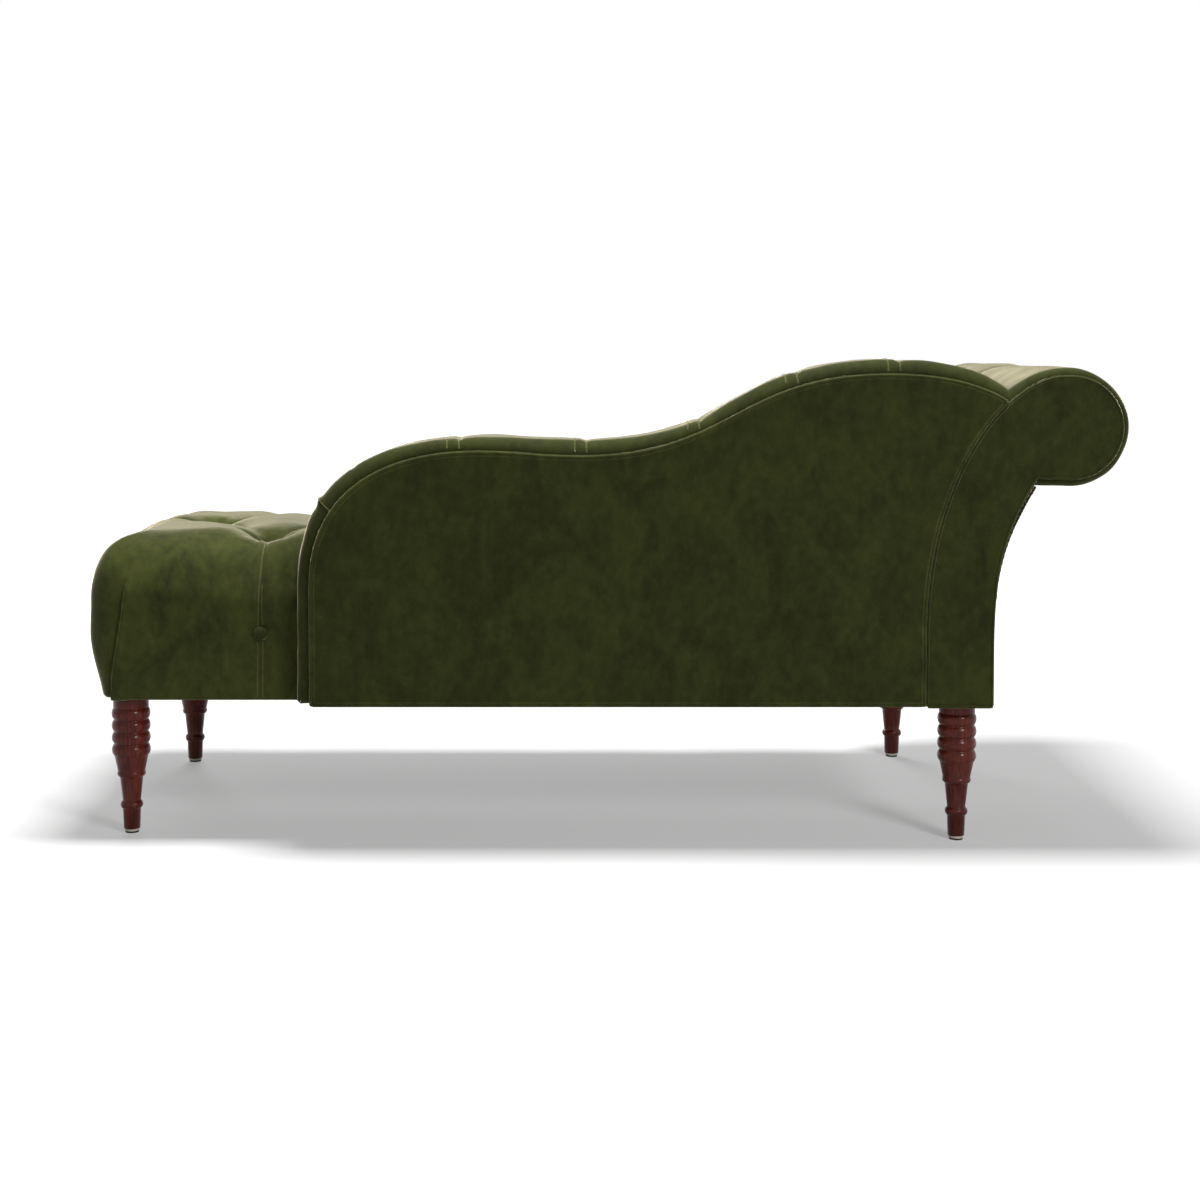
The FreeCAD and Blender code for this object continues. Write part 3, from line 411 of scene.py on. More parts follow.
# The points nearest to a pleat are drawn onto its line, so that it runs straight.
for column in outer_x:
    x[(side > tuft_y) & (np.abs(x - column) < grid / 2)] = column
y[(x > middle_x[0]) & (side < grid / 2)] = 0
edge_x = corner_fold_x(z)
hit = (side > 270) & (z < 440) & (np.abs(x - edge_x) < grid / 2)
x[hit] = edge_x[hit]
dents, folds = [], 0 * x
for a, b in creases:
    gap, t = beside(x, side, (a, 0), (b, tuft_y))
    dents.append(over * (12 + 6 * (2 * t - 1) ** 2) * fall(gap, 82) + over * 4 * fall(gap, 12, 1.5))
for columns, rows in ((middle_x, (0.0,)), (outer_x, (tuft_y, -tuft_y))):
    for number, column in enumerate(columns):
        for row in rows:
            dents.append(hollow(over * top_sink, x - column, y - row, 84, 2.7))
            seed = 500 + 31 * number + int(row)
            folds = folds + over * gathers(x, y, (column, row), 11, seed, 1.7, 26)
path = np.maximum(side - tuft_y, 0) + np.maximum(crown_z - 20 - z, 0)
for number, column in enumerate(outer_x):
    gap = x - column
    on = (side > tuft_y - 10) * ease(z, side_button_z - 6, side_button_z + 24)
    dents.append(pleat(on, gap, path, (5.5, 10, 60), (48, 40, 70), 1.6))
    folds = folds + on * 2.6 * fall(gap, 9, 1.4) - on * 1.4 * fall(gap - 9, 9, 1.4)
    on = ease(side, 270, 296)
    dents.append(hollow(on * side_sink, gap, z - side_button_z, 70, 2.2))
    folds = folds + on * gathers(x, z, (column, side_button_z), 9, 71 + number, 1.3, 22)
    below = on * (z < side_button_z) * ease(z, 214, 240)
    folds = folds + below * 1.1 * (fall(gap - 4, 7, 1.5) + fall(gap + 5, 7, 1.5))
on = (x > middle_x[0] - 10) * ease(z, side_button_z - 6, side_button_z + 24)
path = np.maximum(x - middle_x[0], 0) + np.maximum(crown_z - 20 - z, 0)
dents.append(pleat(on, y, path, (3.2, 13, 60), (26, 50, 70)))
folds = folds + on * 2.6 * fall(y, 9, 1.4)
on = ease(x, foot_x - 40, foot_x - 12)
dents.append(hollow(on * foot_sink, y, z - side_button_z, 62, 2.4))
folds = folds + on * gathers(y, z, (0, side_button_z), 9, 91, 1.3, 22)
# The corner's spare cloth is folded back under itself, so the fold's edge stands up near the end of the side.
gap = x - edge_x
on = ease(side, 270, 296) * ease(z, 410, 385)
folds = folds - on * 4.5 * np.where(gap < 0.5, fall(gap, 34, 1.6), 0)
folds = folds + on * 4.0 * fall(gap - 4, 14, 1.4) * (gap > 0.5)
gap = beside(x, z, (612, 478), (605, 446))[0]
folds = folds + ease(side, 262, 285) * 2.6 * fall(gap, 8, 1.4)
# The top stands a little fuller towards the rear. Above the rails the wadding gives more than over them.
swell = waves(p, 5, 150, 2.0) + waves(p, 6, 60, 0.5) + over * y / 48
shift = swell * ease(z, base_z + 3, base_z + 30) - pool(dents) - folds
p = p + n * np.maximum(shift, -7.5 - 60 * ease(z, 325, 352))[:, None]
write(seat, p)
# The seat takes the lighter copy of the velvet, painted light for the light its top and sides catch.
seat.data.materials[0] = painted_light_velvet
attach(seat, "root")
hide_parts("seat_cover", "seat_foam", "seat_side_padding")

# Back: velvet over foam, from the seat up the inside, over the S-curved top and down to the outside panel's seam.
# Seven buttons hold the inside; a pleat runs from each of the upper five over the top. The top's own strip of
# cloth meets the foot end's strip in a mitred seam at the shoulder.
inner_y, wrap_y = 235.0, 345.0
arm_inner_x, arm_outer_x, arm_flare_z, arm_crest_x = -494.0, -593.0, 330.0, -700.0
roll_x, roll_z, roll_r, neck_x, neck_z, outer_flare_z = -711.0, 643.0, 79.0, -657.0, 566.0, 300.0
arm_middle_x = -563.3


def curve(a, b, c, d, count=60):
    t = np.linspace(0, 1, count)[:, None]
    a, b, c, d = (np.array(q, float) for q in (a, b, c, d))
    return (1 - t) ** 3 * a + 3 * t * (1 - t) ** 2 * b + 3 * t * t * (1 - t) * c + t ** 3 * d


def arc(centre, r, start, end, count=60):
    t = np.radians(np.linspace(start, end, count))
    return np.stack([centre[0] + r * np.cos(t), centre[1] + r * np.sin(t)], axis=1)


def even(points, step=2.0):
    """The same path with points at one step, its corners kept to within half of it."""
    points = np.array(points, float)
    run = np.concatenate([[0], np.cumsum(np.hypot(*np.diff(points, axis=0).T))])
    keep = np.concatenate([[True], np.diff(run) > 1e-6])
    at = np.linspace(0, run[-1], max(2, int(run[-1] / step)))
    return np.stack([np.interp(at, run[keep], points[keep, i]) for i in (0, 1)], axis=1)
def closed(outline, step):
    """A closed outline with points at one step."""
    return even(np.concatenate([outline, outline[:1]]), step)[:-1]


def back_outline(grow):
    """The back seen from behind, from the arm's foot along the base, up the foot end and along the top."""
    end_x = 446 + grow
    foot, shoulder, low = (end_x, base_z), (end_x, 400), (190, 607.5 + grow)
    dip, high, head = (35, 600.5 + grow), (-435, 724.5 + grow), (-638, 665 + grow)
    rise, to_low = low[1] - shoulder[1], end_x - low[0]
    to_dip, to_high, to_head = low[0] - dip[0], dip[0] - high[0], high[0] - head[0]
    return np.concatenate([
        [(arm_middle_x, base_z), foot, shoulder],
        curve(shoulder, (end_x, shoulder[1] + 0.72 * rise), (low[0] + 0.55 * to_low, low[1]), low),
        curve(low, (low[0] - 0.45 * to_dip, low[1]), (dip[0] + 0.45 * to_dip, dip[1]), dip),
        curve(dip, (dip[0] - 0.5 * to_high, dip[1]), (high[0] + 0.5 * to_high, high[1]), high),
        curve(high, (high[0] - 0.45 * to_head, high[1]), (head[0] + 0.2 * to_head, head[1] + 0.2 * to_head), head),
    ])


def outside_run(grow, neck):
    """The arm's outer line from under the roll down to where it stands straight."""
    low = (arm_outer_x - grow, outer_flare_z)
    rise, lean = neck[1] - outer_flare_z, (roll_x - neck_x) / roll_r
    return curve(neck, (neck[0] - 0.29 * lean * rise, neck[1] - 0.32 * rise), (low[0], low[1] + 0.45 * rise), low)


def arm_outline(grow, grow_out=0.0):
    """The arm seen from behind: up its inside, over the roll and down its outside."""
    flare = (arm_inner_x + grow, arm_flare_z)
    crest = (arm_crest_x, roll_z + roll_r + grow)
    r = roll_r + grow
    rise, run = crest[1] - flare[1], flare[0] - arm_crest_x
    neck = (neck_x - grow_out, neck_z - grow)
    return np.concatenate([
        [(arm_outer_x - grow_out, base_z), (flare[0], base_z), flare],
        curve(flare, (flare[0], flare[1] + 0.64 * rise), (crest[0] + 0.39 * run, crest[1]), crest),
        arc((roll_x, roll_z), r, 90, 270), outside_run(grow_out, neck),
        [(arm_outer_x - grow_out, base_z)],
    ])


class Outline:
    """A closed outline in X and Z that tells how far a point lies outside it, and which way is out."""

    def __init__(self, points):
        self.points = closed(points, 1.5)
        ahead = np.roll(self.points, -1, axis=0) - np.roll(self.points, 1, axis=0)
        u, w = self.points.T
        area = np.sum(u * np.roll(w, -1) - np.roll(u, -1) * w)
        out = np.stack([ahead[:, 1], -ahead[:, 0]], axis=1) * np.sign(area)
        self.out = out / np.linalg.norm(out, axis=1)[:, None]
        self.tree = KDTree(len(self.points))
        for i, (u, w) in enumerate(self.points):
            self.tree.insert((u, 0, w), i)
        self.tree.balance()

    def near(self, p):
        return np.array([self.tree.find((u, 0, w))[1] for u, w in p[:, (0, 2)]])

    def __call__(self, p):
        i = self.near(p)
        d = p[:, (0, 2)] - self.points[i]
        n = self.out[i]
        return np.sum(d * n, axis=1), np.stack([n[:, 0], 0 * d[:, 0], n[:, 1]], axis=1)
    def beyond(self, path):
        """How far the points of a path in X and Z lie outside it."""
        return self(np.stack([path[:, 0], 0 * path[:, 0], path[:, 1]], axis=1))[0]


back_crest = back_outline(22)
back_line = Outline(back_crest)
arm_line = Outline(arm_outline(12))


def outside(form, keep=0.0):
    """What lies outside a form, reaching into it by keep."""
    d, n = form
    return -d - keep, -n


def back_form(p):
    form = both(back_line(p), plane(p, (0, -1, 0), -inner_y), 44)
    form = both(form, plane(p, (0, 1, 0), wrap_y), 21)
    form = both(form, plane(p, (0, 0, -1), -base_z), 4)
    form = both(form, outside(seat_form(p), 8))
    return both(form, outside(arm_line(p), 14))


line = back_outline(20)
back = rough_solid("back_upholstery", [
    ([(-560, 468), (452, 468), *even(line[line[:, 1] > 468], 16.0)], inner_y, wrap_y),
    ([(-560, 440), (458, 440), (458, 480), (-560, 480)], 262, wrap_y),
    ([(-560, 415), (460, 415), (460, 480), (-560, 480)], 282, wrap_y),
    (closed(line, 16.0), seat_half - 6, wrap_y)], grid)
p, n = settle(read(back), back_form)
x, y, z = p.T
top_line = even(back_crest[3:], 2.0)
order = np.argsort(top_line[:, 0])
# The inside's buttons: an upper row at one distance below the top, and two in a lower row.
row_drop, back_sink = 85, 19
upper = [(a, float(np.interp(a, top_line[order, 0], top_line[order, 1])) - row_drop)
         for a in (218, 24, -148, -297, -452)]
lower = [(-222.0, 552.0), (-375.0, 552.0)]
back_creases = [(q, near) for q in lower for near in sorted(upper, key=lambda k: abs(k[0] - q[0]))[:2]]
inside = ease(-n[:, 1], 0.2, 0.8)
for a, b in upper:
    x[(z > b) & (np.abs(x - a) < grid / 2)] = a
for a, b in lower:
    x[(z < b) & (y < inner_y + 20) & (np.abs(x - a) < grid / 2)] = a
dents, folds = [], 0 * x
behind = ease(y, wrap_y, wrap_y - 16)
for a, b in upper:
    gap = x - a
    path = np.maximum(z - b, 0) + np.maximum(y - inner_y - 20, 0)
    on = ease(z, b - 8, b + 8) * behind
    dents.append(pleat(on, gap, path, (1.8, 9, 45), (40, 34, 60)))
    folds = folds + on * 1.6 * fall(gap, 8, 1.4) - on * 0.8 * fall(gap - 10, 12, 1.3)
for number, (a, b) in enumerate(upper + lower):
    dents.append(hollow(inside * back_sink, x - a, z - b, 74, 2.6))
    folds = folds + inside * gathers(x, z, (a, b), 11, 200 + number, 1.5, 24)
for start, end in back_creases:
    gap, t = beside(x, z, start, end)
    dents.append(inside * (9 + 4 * (2 * t - 1) ** 2) * fall(gap, 66) + inside * 3 * fall(gap, 12, 1.5))
for a, b in lower + [q for q in upper if q[0] > -137]:
    gap = x - a
    on = inside * ease(z, b + 8, b - 8)
    dents.append(pleat(on, gap, b - z, (4.0, 8, 50), (40, 26, 60)))
    folds = folds + on * 2.2 * fall(gap, 8, 1.4)
# One more pleat near the shoulder, and the ridge of the mitred seam.
gap = x - 380
folds = folds + ease(z, 500, 540) * behind * 1.3 * fall(gap, 9, 1.5)
gap, far = (z - 537) * 0.775 - (x - 440) * 0.632, (x - 440) * 0.775 + (z - 537) * 0.632
folds = folds - ease(far, -50, -30) * behind * (2.6 * fall(gap, 11, 1.4) - 1.6 * fall(gap + 14, 16, 1.6))
swell = waves(p, 11, 140, 1.3) + waves(p, 12, 55, 0.4)
p = p + n * (swell * behind - pool(dents) - folds)[:, None]
write(back, p)
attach(back, "root")
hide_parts("back_cover", "back_foam")


# Arm: velvet over foam round two scroll frames, from the seat up the inside, over the roll and under it to the neck.
# Three buttons hold the inside, and one pleat runs from the upper one right over the roll.
arm = rough_solid("arm_upholstery", [(even(arm_outline(11, -12), 16.0), -wrap_y, wrap_y)], grid)
arm_body_line = arm_outline(12, -3)
arm_body = Outline(arm_body_line)


def arm_body_form(p):
    form = both(arm_body(p), plane(p, (0, 1, 0), wrap_y), 14)
    form = both(form, plane(p, (0, -1, 0), wrap_y), 14)
    return both(form, plane(p, (0, 0, -1), -base_z), 3)


p, n = settle(read(arm), arm_body_form)
x, y, z = p.T


def arm_inside_x(height):
    """Where the arm's inside stands at one height."""
    side_line = arm_body.points[(arm_body.out[:, 0] > 0.05) & (arm_body.points[:, 1] > 230)]
    order = np.argsort(side_line[:, 1])
    return float(np.interp(height, side_line[order, 1], side_line[order, 0]))


# The arm's buttons: two low ones with one above them in the middle, all a little to the front.
arm_tuft_y, arm_spread, arm_low_z, arm_top_z, arm_sink = -32.0, 140, 548.0, 640.0, 14
arm_tufts = [(arm_inside_x(arm_low_z), arm_tuft_y - arm_spread, arm_low_z),
             (arm_inside_x(arm_low_z), arm_tuft_y + arm_spread, arm_low_z),
             (arm_inside_x(arm_top_z), arm_tuft_y, arm_top_z)]
facing = ease(n[:, 0] + 0.8 * n[:, 2], 0.1, 0.7)
top_x, _, top_z = arm_tufts[2]
rolled = ((x < top_x + 4) & (z > top_z - 6)) | (x < roll_x)
rolled = rolled & (z > neck_z - 8)
y[rolled & (np.abs(y - arm_tuft_y) < grid / 2)] = arm_tuft_y
dents, folds = [], 0 * x
near_top = np.hypot(x - top_x, z - top_z)
dents.append(pleat(rolled, y - arm_tuft_y, near_top, (3.5, 8, 60), (44, 30, 60)))
folds = folds + rolled * (2.6 * fall(y - arm_tuft_y, 8, 1.4) - 1.4 * fall(y - arm_tuft_y - 10, 12, 1.3))
for number, (a, b, c) in enumerate(arm_tufts):
    up = np.hypot(x - a, z - c) * np.where(z > c, 1, -1)
    dents.append(hollow(facing * arm_sink, up, y - b, 66, 2.5))
    folds = folds + facing * gathers(y, up, (b, 0), 10, 300 + number, 1.4, 22)
for a, b, c in arm_tufts[:2]:
    gap, t = beside(y, z, (b, c), (arm_tuft_y, top_z))
    dents.append(facing * (x < a + 30) * (7 + 3 * (2 * t - 1) ** 2) * fall(gap, 60) * (z < top_z + 40))
    gap = y - b
    on = facing * ease(z, c + 8, c - 8)
    dents.append(on * (3 + 6 * np.exp((z - c) / 50)) * fall(gap, 34))
    folds = folds + on * 2.0 * fall(gap, 8, 1.4)
swell = waves(p, 21, 150, 1.4) + waves(p, 22, 60, 0.4)
calm = ease(np.abs(y), wrap_y, wrap_y - 14) * ease(z, base_z, base_z + 30)
p = p + n * (swell * calm - pool(dents) - folds)[:, None]
write(arm, p)
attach(arm, "root")
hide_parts("arm_cover", "arm_foam")


# Outside panels: the back's, the arm's outside and its two scroll ends. Velvet over thin wadding on a pressed
# board, its edge turned over the board and tacked, so the face falls away to the seam all round.
def panel_piece(name, outline, y0, y1, *nodes, seed):
    inner = Outline(outline)
    piece = rough_solid(name, [(closed(outline, 10.0), *sorted((y0, y1)))], grid)
    way = 1 if y1 > y0 else -1
    face, rest = abs(y1), abs(y0)

    def form(p):
        made = both(inner(p), plane(p, (0, way, 0), face), 2.0)
        return both(made, plane(p, (0, -way, 0), -rest))

    p, n = settle(read(piece), form)
    depth = -inner(p)[0]
    front = ease(n[:, 1] * way, 0.3, 0.9)
    sink = 3.2 * fall(depth, 9.0, 2.4)
    wave = waves(p, seed, 190, 0.35) * ease(depth, 6, 60)
    p[:, 1] += way * front * (wave - sink)
    write(piece, p)
    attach(piece, "root")
    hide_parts(*nodes)


def panel_outline(grow):
    """The outside back's panel: the back's own outline up to the arm's inner line."""
    arm_inner = arm_outline(0.5 - grow)
    outer = back_outline(grow)
    top = even(outer[1:], 3.0)
    top = top[Outline(arm_inner).beyond(top) > 0]
    arm_side = even(arm_inner[1:63], 3.0)
    lowest_z = base_z - min(grow, 0)
    arm_side = arm_side[(Outline(outer).beyond(arm_side) < 0) & (arm_side[:, 1] > lowest_z)]
    top = top[top[:, 1] > lowest_z - 0.01]
    return np.concatenate([[(arm_side[0][0], lowest_z), (top[0][0], lowest_z)], top, arm_side[::-1]])


face_y = 353.5
panel_piece("back_outside_panel", panel_outline(1.0), wrap_y + 0.2, face_y, "back_outer_cover", "back_outer_wadding",
            seed=31)
for way, side_name in ((1, "rear"), (-1, "front")):
    panel_piece(f"arm_end_panel_{side_name}", arm_outline(1.0, 4.2)[:-1], way * (wrap_y + 0.2), way * face_y,
                f"arm_end_cover_{side_name}", f"arm_end_wadding_{side_name}", seed=40 + way)

strip_top = neck_z - 12.5
strip = rough_solid("arm_outside_panel", [(
    np.concatenate([[(arm_outer_x - 5, base_z), (arm_outer_x - 0.5, base_z)],
                    even(outside_run(0.5, (neck_x - 0.5, strip_top)), 14)[::-1],
                    even(outside_run(5, (neck_x - 5, strip_top)), 14)]), -wrap_y, wrap_y)], 2.5)
p = read(strip)
p[:, 0] -= 0.5 * waves(p, 51, 160, 1.0) * ease(np.abs(p[:, 1]), wrap_y, wrap_y - 40) * (p[:, 0] < arm_outer_x - 3)
write(strip, p)
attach(strip, "root")
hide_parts("arm_outside_cover", "arm_outside_wadding")

# Double welt: two thin cords side by side in one strip of velvet, sewn round the back's outside panel over its seam;
# round each of the arm's scroll ends it is one cord.
def tree_with(name, inputs, output):
    """A geometry tree with named inputs of the given kinds and one output, and what its inputs give."""
    tree = bpy.data.node_groups.new(name, "GeometryNodeTree")
    for label, kind in inputs.items():
        tree.interface.new_socket(label, in_out="INPUT", socket_type="NodeSocket" + kind)
    tree.interface.new_socket(output, in_out="OUTPUT", socket_type="NodeSocketGeometry")
    return tree, add(tree, "NodeGroupInput").outputs


def finished(tree, geometry, material, output):
    """Ends a tree: real, smooth geometry in one material."""
    real = add(tree, "GeometryNodeRealizeInstances", {"Geometry": geometry}).outputs["Geometry"]
    soft = add(tree, "GeometryNodeSetShadeSmooth", {"Geometry": real}).outputs["Geometry"]
    clad = add(tree, "GeometryNodeSetMaterial", {"Geometry": soft, "Material": material}).outputs["Geometry"]
    add(tree, "NodeGroupOutput", {output: clad})


welt_tree, given = tree_with("double_welt", {"Path": "Geometry", "Cord radius": "Float", "Step": "Float",
                                             "Cloth": "Material"}, "Welt")
steps = add(welt_tree, "GeometryNodeResampleCurve", {"Curve": given["Path"], "Length": given["Step"]}, mode="LENGTH")
ring = add(welt_tree, "GeometryNodeCurvePrimitiveCircle", {"Resolution": 10, "Radius": given["Cord radius"]})
cord = add(welt_tree, "GeometryNodeCurveToMesh", {"Curve": steps.outputs["Curve"],
                                                  "Profile Curve": ring.outputs["Curve"]})
finished(welt_tree, cord.outputs["Mesh"], given["Cloth"], "Welt")


def grown(name, tree, start, values):
    """Runs a tree on a starting object and keeps the result as a plain mesh."""
    thing = placed(name + "_start", start)
    build = thing.modifiers.new("build", "NODES")
    build.node_group = tree
    keys = {item.name: item.identifier for item in tree.interface.items_tree}
    for label, value in values.items():
        build[keys[label]] = value
    mesh = built(thing)
    bpy.data.objects.remove(thing)
    return placed(name, mesh)


def path_3d(name):
    path = bpy.data.curves.new(name, "CURVE")
    path.dimensions = "3D"
    return path


def run_along(path, points):
    """Adds a straight-sided run through points in metres to a path."""
    run = path.splines.new("POLY")
    run.points.add(len(points) - 1)
    run.points.foreach_set("co", np.column_stack([points, np.ones(len(points))]).ravel())
    return run


def welt(name, outlines, y, node, cloth):
    path = path_3d(name)
    for outline in outlines:
        points = closed(outline, 4.0)
        points = np.stack([points[:, 0] * MM, 0 * points[:, 0] + y * MM, points[:, 1] * MM], axis=1)
        run_along(path, points).use_cyclic_u = True
    piece = grown(name, welt_tree, path, {"Cord radius": 0.0021, "Step": 0.004, "Cloth": cloth})
    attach(piece, "root")
    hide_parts(node)


seam_y = 352.4
# The back's welt takes the lighter copy of the velvet, a painted highlight along its cords.
welt("back_outside_welt", [panel_outline(-2.0), panel_outline(-6.6)], seam_y, "back_outer_welt", painted_light_velvet)
for way, side_name in ((1, "rear"), (-1, "front")):
    welt(f"arm_end_welt_cords_{side_name}", [arm_outline(-2.2, 0.8)[:-1]], way * seam_y,
         f"arm_end_welt_{side_name}", velvet)

# Fold edges: where velvet is pleated over an edge or between buttons its folded edge stands up as a fine round lip,
# and the mitred seam at the back's shoulder stands up the same way.
def lips(name, thing, form, runs):
    """Fine lips on a finished cover, each a guessed path in mm that is laid on the form, with its widest radius."""
    skin = BVHTree.FromObject(thing, bpy.context.evaluated_depsgraph_get())
    path = path_3d(name)
    for points, r in runs:
        points = np.array(points, float)
        run = np.concatenate([[0], np.cumsum(np.linalg.norm(np.diff(points, axis=0), axis=1))])
        at = np.linspace(0, run[-1], max(4, int(run[-1] / 4)))
        q, n = settle(np.stack([np.interp(at, run, points[:, i]) for i in range(3)], axis=1), form)
        found = []
        for a, d in zip(q, n):
            spot = skin.ray_cast(Vector(a + 30 * d) * MM, Vector(-d))[0]
            if spot is not None:
                found.append(np.array(spot) / MM + 0.35 * r * d)
        found = np.array(found)
        found[1:-1] = (found[:-2] + 2 * found[1:-1] + found[2:]) / 4
        t = np.linspace(0, 1, len(found))
        lip = run_along(path, found * MM)
        lip.points.foreach_set("radius", r * np.clip(np.minimum(t, 1 - t) * 9, 0.15, 1))
    # The lips take the paler copy of the velvet, a painted highlight along each fold edge.
    piece = grown(name, welt_tree, path, {"Cord radius": 0.001, "Step": 0.003, "Cloth": highlight_velvet})
    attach(piece, "root")


def part_way(start, end, shares):
    """Points on the straight run between two places."""
    return [tuple(a + (b - a) * t for a, b in zip(start, end)) for t in shares]


most = (0.12, 0.5, 0.88)
runs = []
for way in (1, -1):
    for column in outer_x if way < 0 else outer_x[:1]:
        down = [(column + 1, way * (tuft_y + 16), 476), (column + 1, way * 262, 466), (column + 2, way * 300, 420)]
        runs.append((down + [(column + 5, way * 300, side_button_z + 11)], 2.1))
        runs.append(([(column - 1, way * 300, 400), (column - 2, way * 300, side_button_z + 12)], 1.3))
        for off in (5, -3):
            runs.append(([(column + off, way * 300, side_button_z - 13), (column + off, way * 300, base_z + 6)], 0.8))
    runs.append(([(corner_fold_x(h) + 1, way * 300, h) for h in range(388, 220, -12)], 2.8))
    runs += [(part_way((a, 0, 474), (b, way * tuft_y, 474), (0.1, 0.5, 0.9)), 2.0) for a, b in creases]
runs.append(([(middle_x[0] + 16, 0, 477), (760, 0, 466), (802, 1, 400), (796, 4, side_button_z + 11)], 2.1))
lips("seat_fold_edges", seat, seat_form, runs)

runs = []
for a, b in upper:
    top = b + row_drop
    runs.append(([(a, inner_y, b + 14), (a, inner_y, top - 40), (a, inner_y + 30, top), (a, wrap_y - 24, top),
                  (a, wrap_y - 2, top - 18)], 1.5))
    runs.append(([(a + 15, inner_y + 8, top - 12), (a + 17, inner_y + 40, top), (a + 18, wrap_y - 22, top),
                  (a + 18, wrap_y - 3, top - 18)], 0.9))
for (a, b), (c, d) in back_creases:
    runs.append((part_way((a, inner_y, b), (c, inner_y, d), most), 1.8))
runs.append(([(413, wrap_y, 515), (430, wrap_y, 529), (442, 335, 539), (446, 300, 543), (446, 262, 543),
              (438, inner_y, 536)], 2.2))
lips("back_fold_edges", back, back_form, runs)

over_roll = arm_body_line[(arm_body_line[:, 1] > arm_top_z + 14) | (arm_body_line[:, 0] < roll_x)]
over_roll = over_roll[(over_roll[:, 1] > neck_z + 4)]
runs = [([(u, arm_tuft_y, w) for u, w in over_roll], 2.1)]
runs += [(part_way(tuft, arm_tufts[2], most), 1.3) for tuft in arm_tufts[:2]]
lips("arm_fold_edges", arm, arm_body_form, runs)

# Covered buttons: velvet drawn over a metal shell, pulled down into the padding by a twine through its loop.
button_tree, given = tree_with("covered_buttons", {"Places": "Geometry", "Radius": "Float", "Height": "Float"},
                               "Buttons")
ball = add(button_tree, "GeometryNodeMeshUVSphere", {"Segments": 24, "Rings": 12, "Radius": 1.0})
size = add(button_tree, "ShaderNodeCombineXYZ", {"X": given["Radius"], "Y": given["Radius"], "Z": given["Height"]})
dome = add(button_tree, "GeometryNodeTransform", {"Geometry": ball.outputs["Mesh"], "Scale": size.outputs["Vector"]})
facing_out = add(button_tree, "GeometryNodeInputNamedAttribute", {"Name": "outward"}, data_type="FLOAT_VECTOR")
turn = add(button_tree, "FunctionNodeAlignRotationToVector", {"Vector": facing_out.outputs["Attribute"]}, axis="Z")
copies = add(button_tree, "GeometryNodeInstanceOnPoints", {
    "Points": given["Places"], "Instance": dome.outputs["Geometry"], "Rotation": turn.outputs["Rotation"]})
finished(button_tree, copies.outputs["Instances"], velvet, "Buttons")


def buttons(name, places, node):
    mesh = bpy.data.meshes.new(name + "_places")
    mesh.from_pydata([Vector(q) * MM for q, _ in places], [], [])
    outward = mesh.attributes.new("outward", "FLOAT_VECTOR", "POINT")
    outward.data.foreach_set("vector", np.array([d for _, d in places], float).ravel())
    piece = grown(name, button_tree, mesh, {"Radius": 0.0108, "Height": 0.0055})
    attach(piece, "root")
    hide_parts(node)


def crown_at(across):
    """The height of the seat's crown at a distance from its middle line."""
    return crown_z - crown_drop * (across / seat_half) ** 2


button_depth = 29
seat_places = [((a, 0, crown_at(0) - button_depth), (0, 0, 1)) for a in middle_x]
seat_places += [((a, way * tuft_y, crown_at(tuft_y) - button_depth), (0, 0, 1)) for a in outer_x for way in (1, -1)]
buttons("seat_covered_buttons", seat_places, "seat_buttons")
side_places = [((a, -seat_half + 5, side_button_z), (0, -1, 0)) for a in outer_x]
side_places += [((outer_x[0], seat_half - 5, side_button_z), (0, 1, 0)),
                ((foot_x - 6.5, 0, side_button_z), (1, 0, -0.05))]
buttons("seat_side_covered_buttons", side_places, "seat_side_buttons")
buttons("back_covered_buttons", [((a, inner_y + 19, b), (0, -1, 0)) for a, b in upper + lower], "back_buttons")
arm_places = []
for a, b, c in arm_tufts:
    u, w = arm_body.out[arm_body.near(np.array([[a, b, c]]))[0]]
    arm_places.append(((a - 13 * u, b, c - 13 * w), (u, 0, w)))
buttons("arm_covered_buttons", arm_places, "arm_buttons")

# Dust cover: black spun-bonded cloth, stretched under the frame and stapled to the rails.
dust_cloth = spun("spun_bonded_cloth", "17171a", "0b0b0c", 700.0, (1.0, 1.0, 1.0), 0.0003)
low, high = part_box("dust_cover")
# The corner blocks' corners are cut out of it; it droops a little between the side rails.
cut_head, cut_foot, cut_side = -0.471, 0.422, 0.276
free_half, droop = 0.28, 0.0025
cuts_x = [low.x, cut_head, cut_foot, high.x]
cuts_y = [low.y, -cut_side, 0.0, cut_side, high.y]


def lines(cuts, step=0.012):
    found = [np.linspace(a, b, max(2, int((b - a) / step)), endpoint=False) for a, b in zip(cuts, cuts[1:])]
    return np.concatenate(found + [[cuts[-1]]])


at_x, at_y = lines(cuts_x), lines(cuts_y)
sheet, corner, flat_area = bmesh.new(), {}, 0.0
for i in range(len(at_x) - 1):
    for j in range(len(at_y) - 1):
        a, b = (at_x[i] + at_x[i + 1]) / 2, (at_y[j] + at_y[j + 1]) / 2
        if abs(b) < cut_side or a < cut_head or (b > 0 and a < cut_foot):
            flat_area += (at_x[i + 1] - at_x[i]) * (at_y[j + 1] - at_y[j])
            four = []
            for u, v in ((i, j), (i + 1, j), (i + 1, j + 1), (i, j + 1)):
                if (u, v) not in corner:
                    sag = droop * math.sin(math.pi * min(1, max(0, (at_x[u] - low.x) / (high.x - low.x))))
                    sag *= math.cos(math.pi * at_y[v] / (2 * free_half)) if abs(at_y[v]) < free_half else 0
                    corner[u, v] = sheet.verts.new((at_x[u], at_y[v], high.z - 0.0001 - abs(sag)))
                four.append(corner[u, v])
            sheet.faces.new(four)
cover = placed("dust_cloth", meshed(sheet, "dust_cloth"))
thick = cover.modifiers.new("thick", "SOLIDIFY")
thick.thickness = 0.0006
thick.offset = 0
cover.data.materials.append(dust_cloth)
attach(cover, "root")
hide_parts("dust_cover")

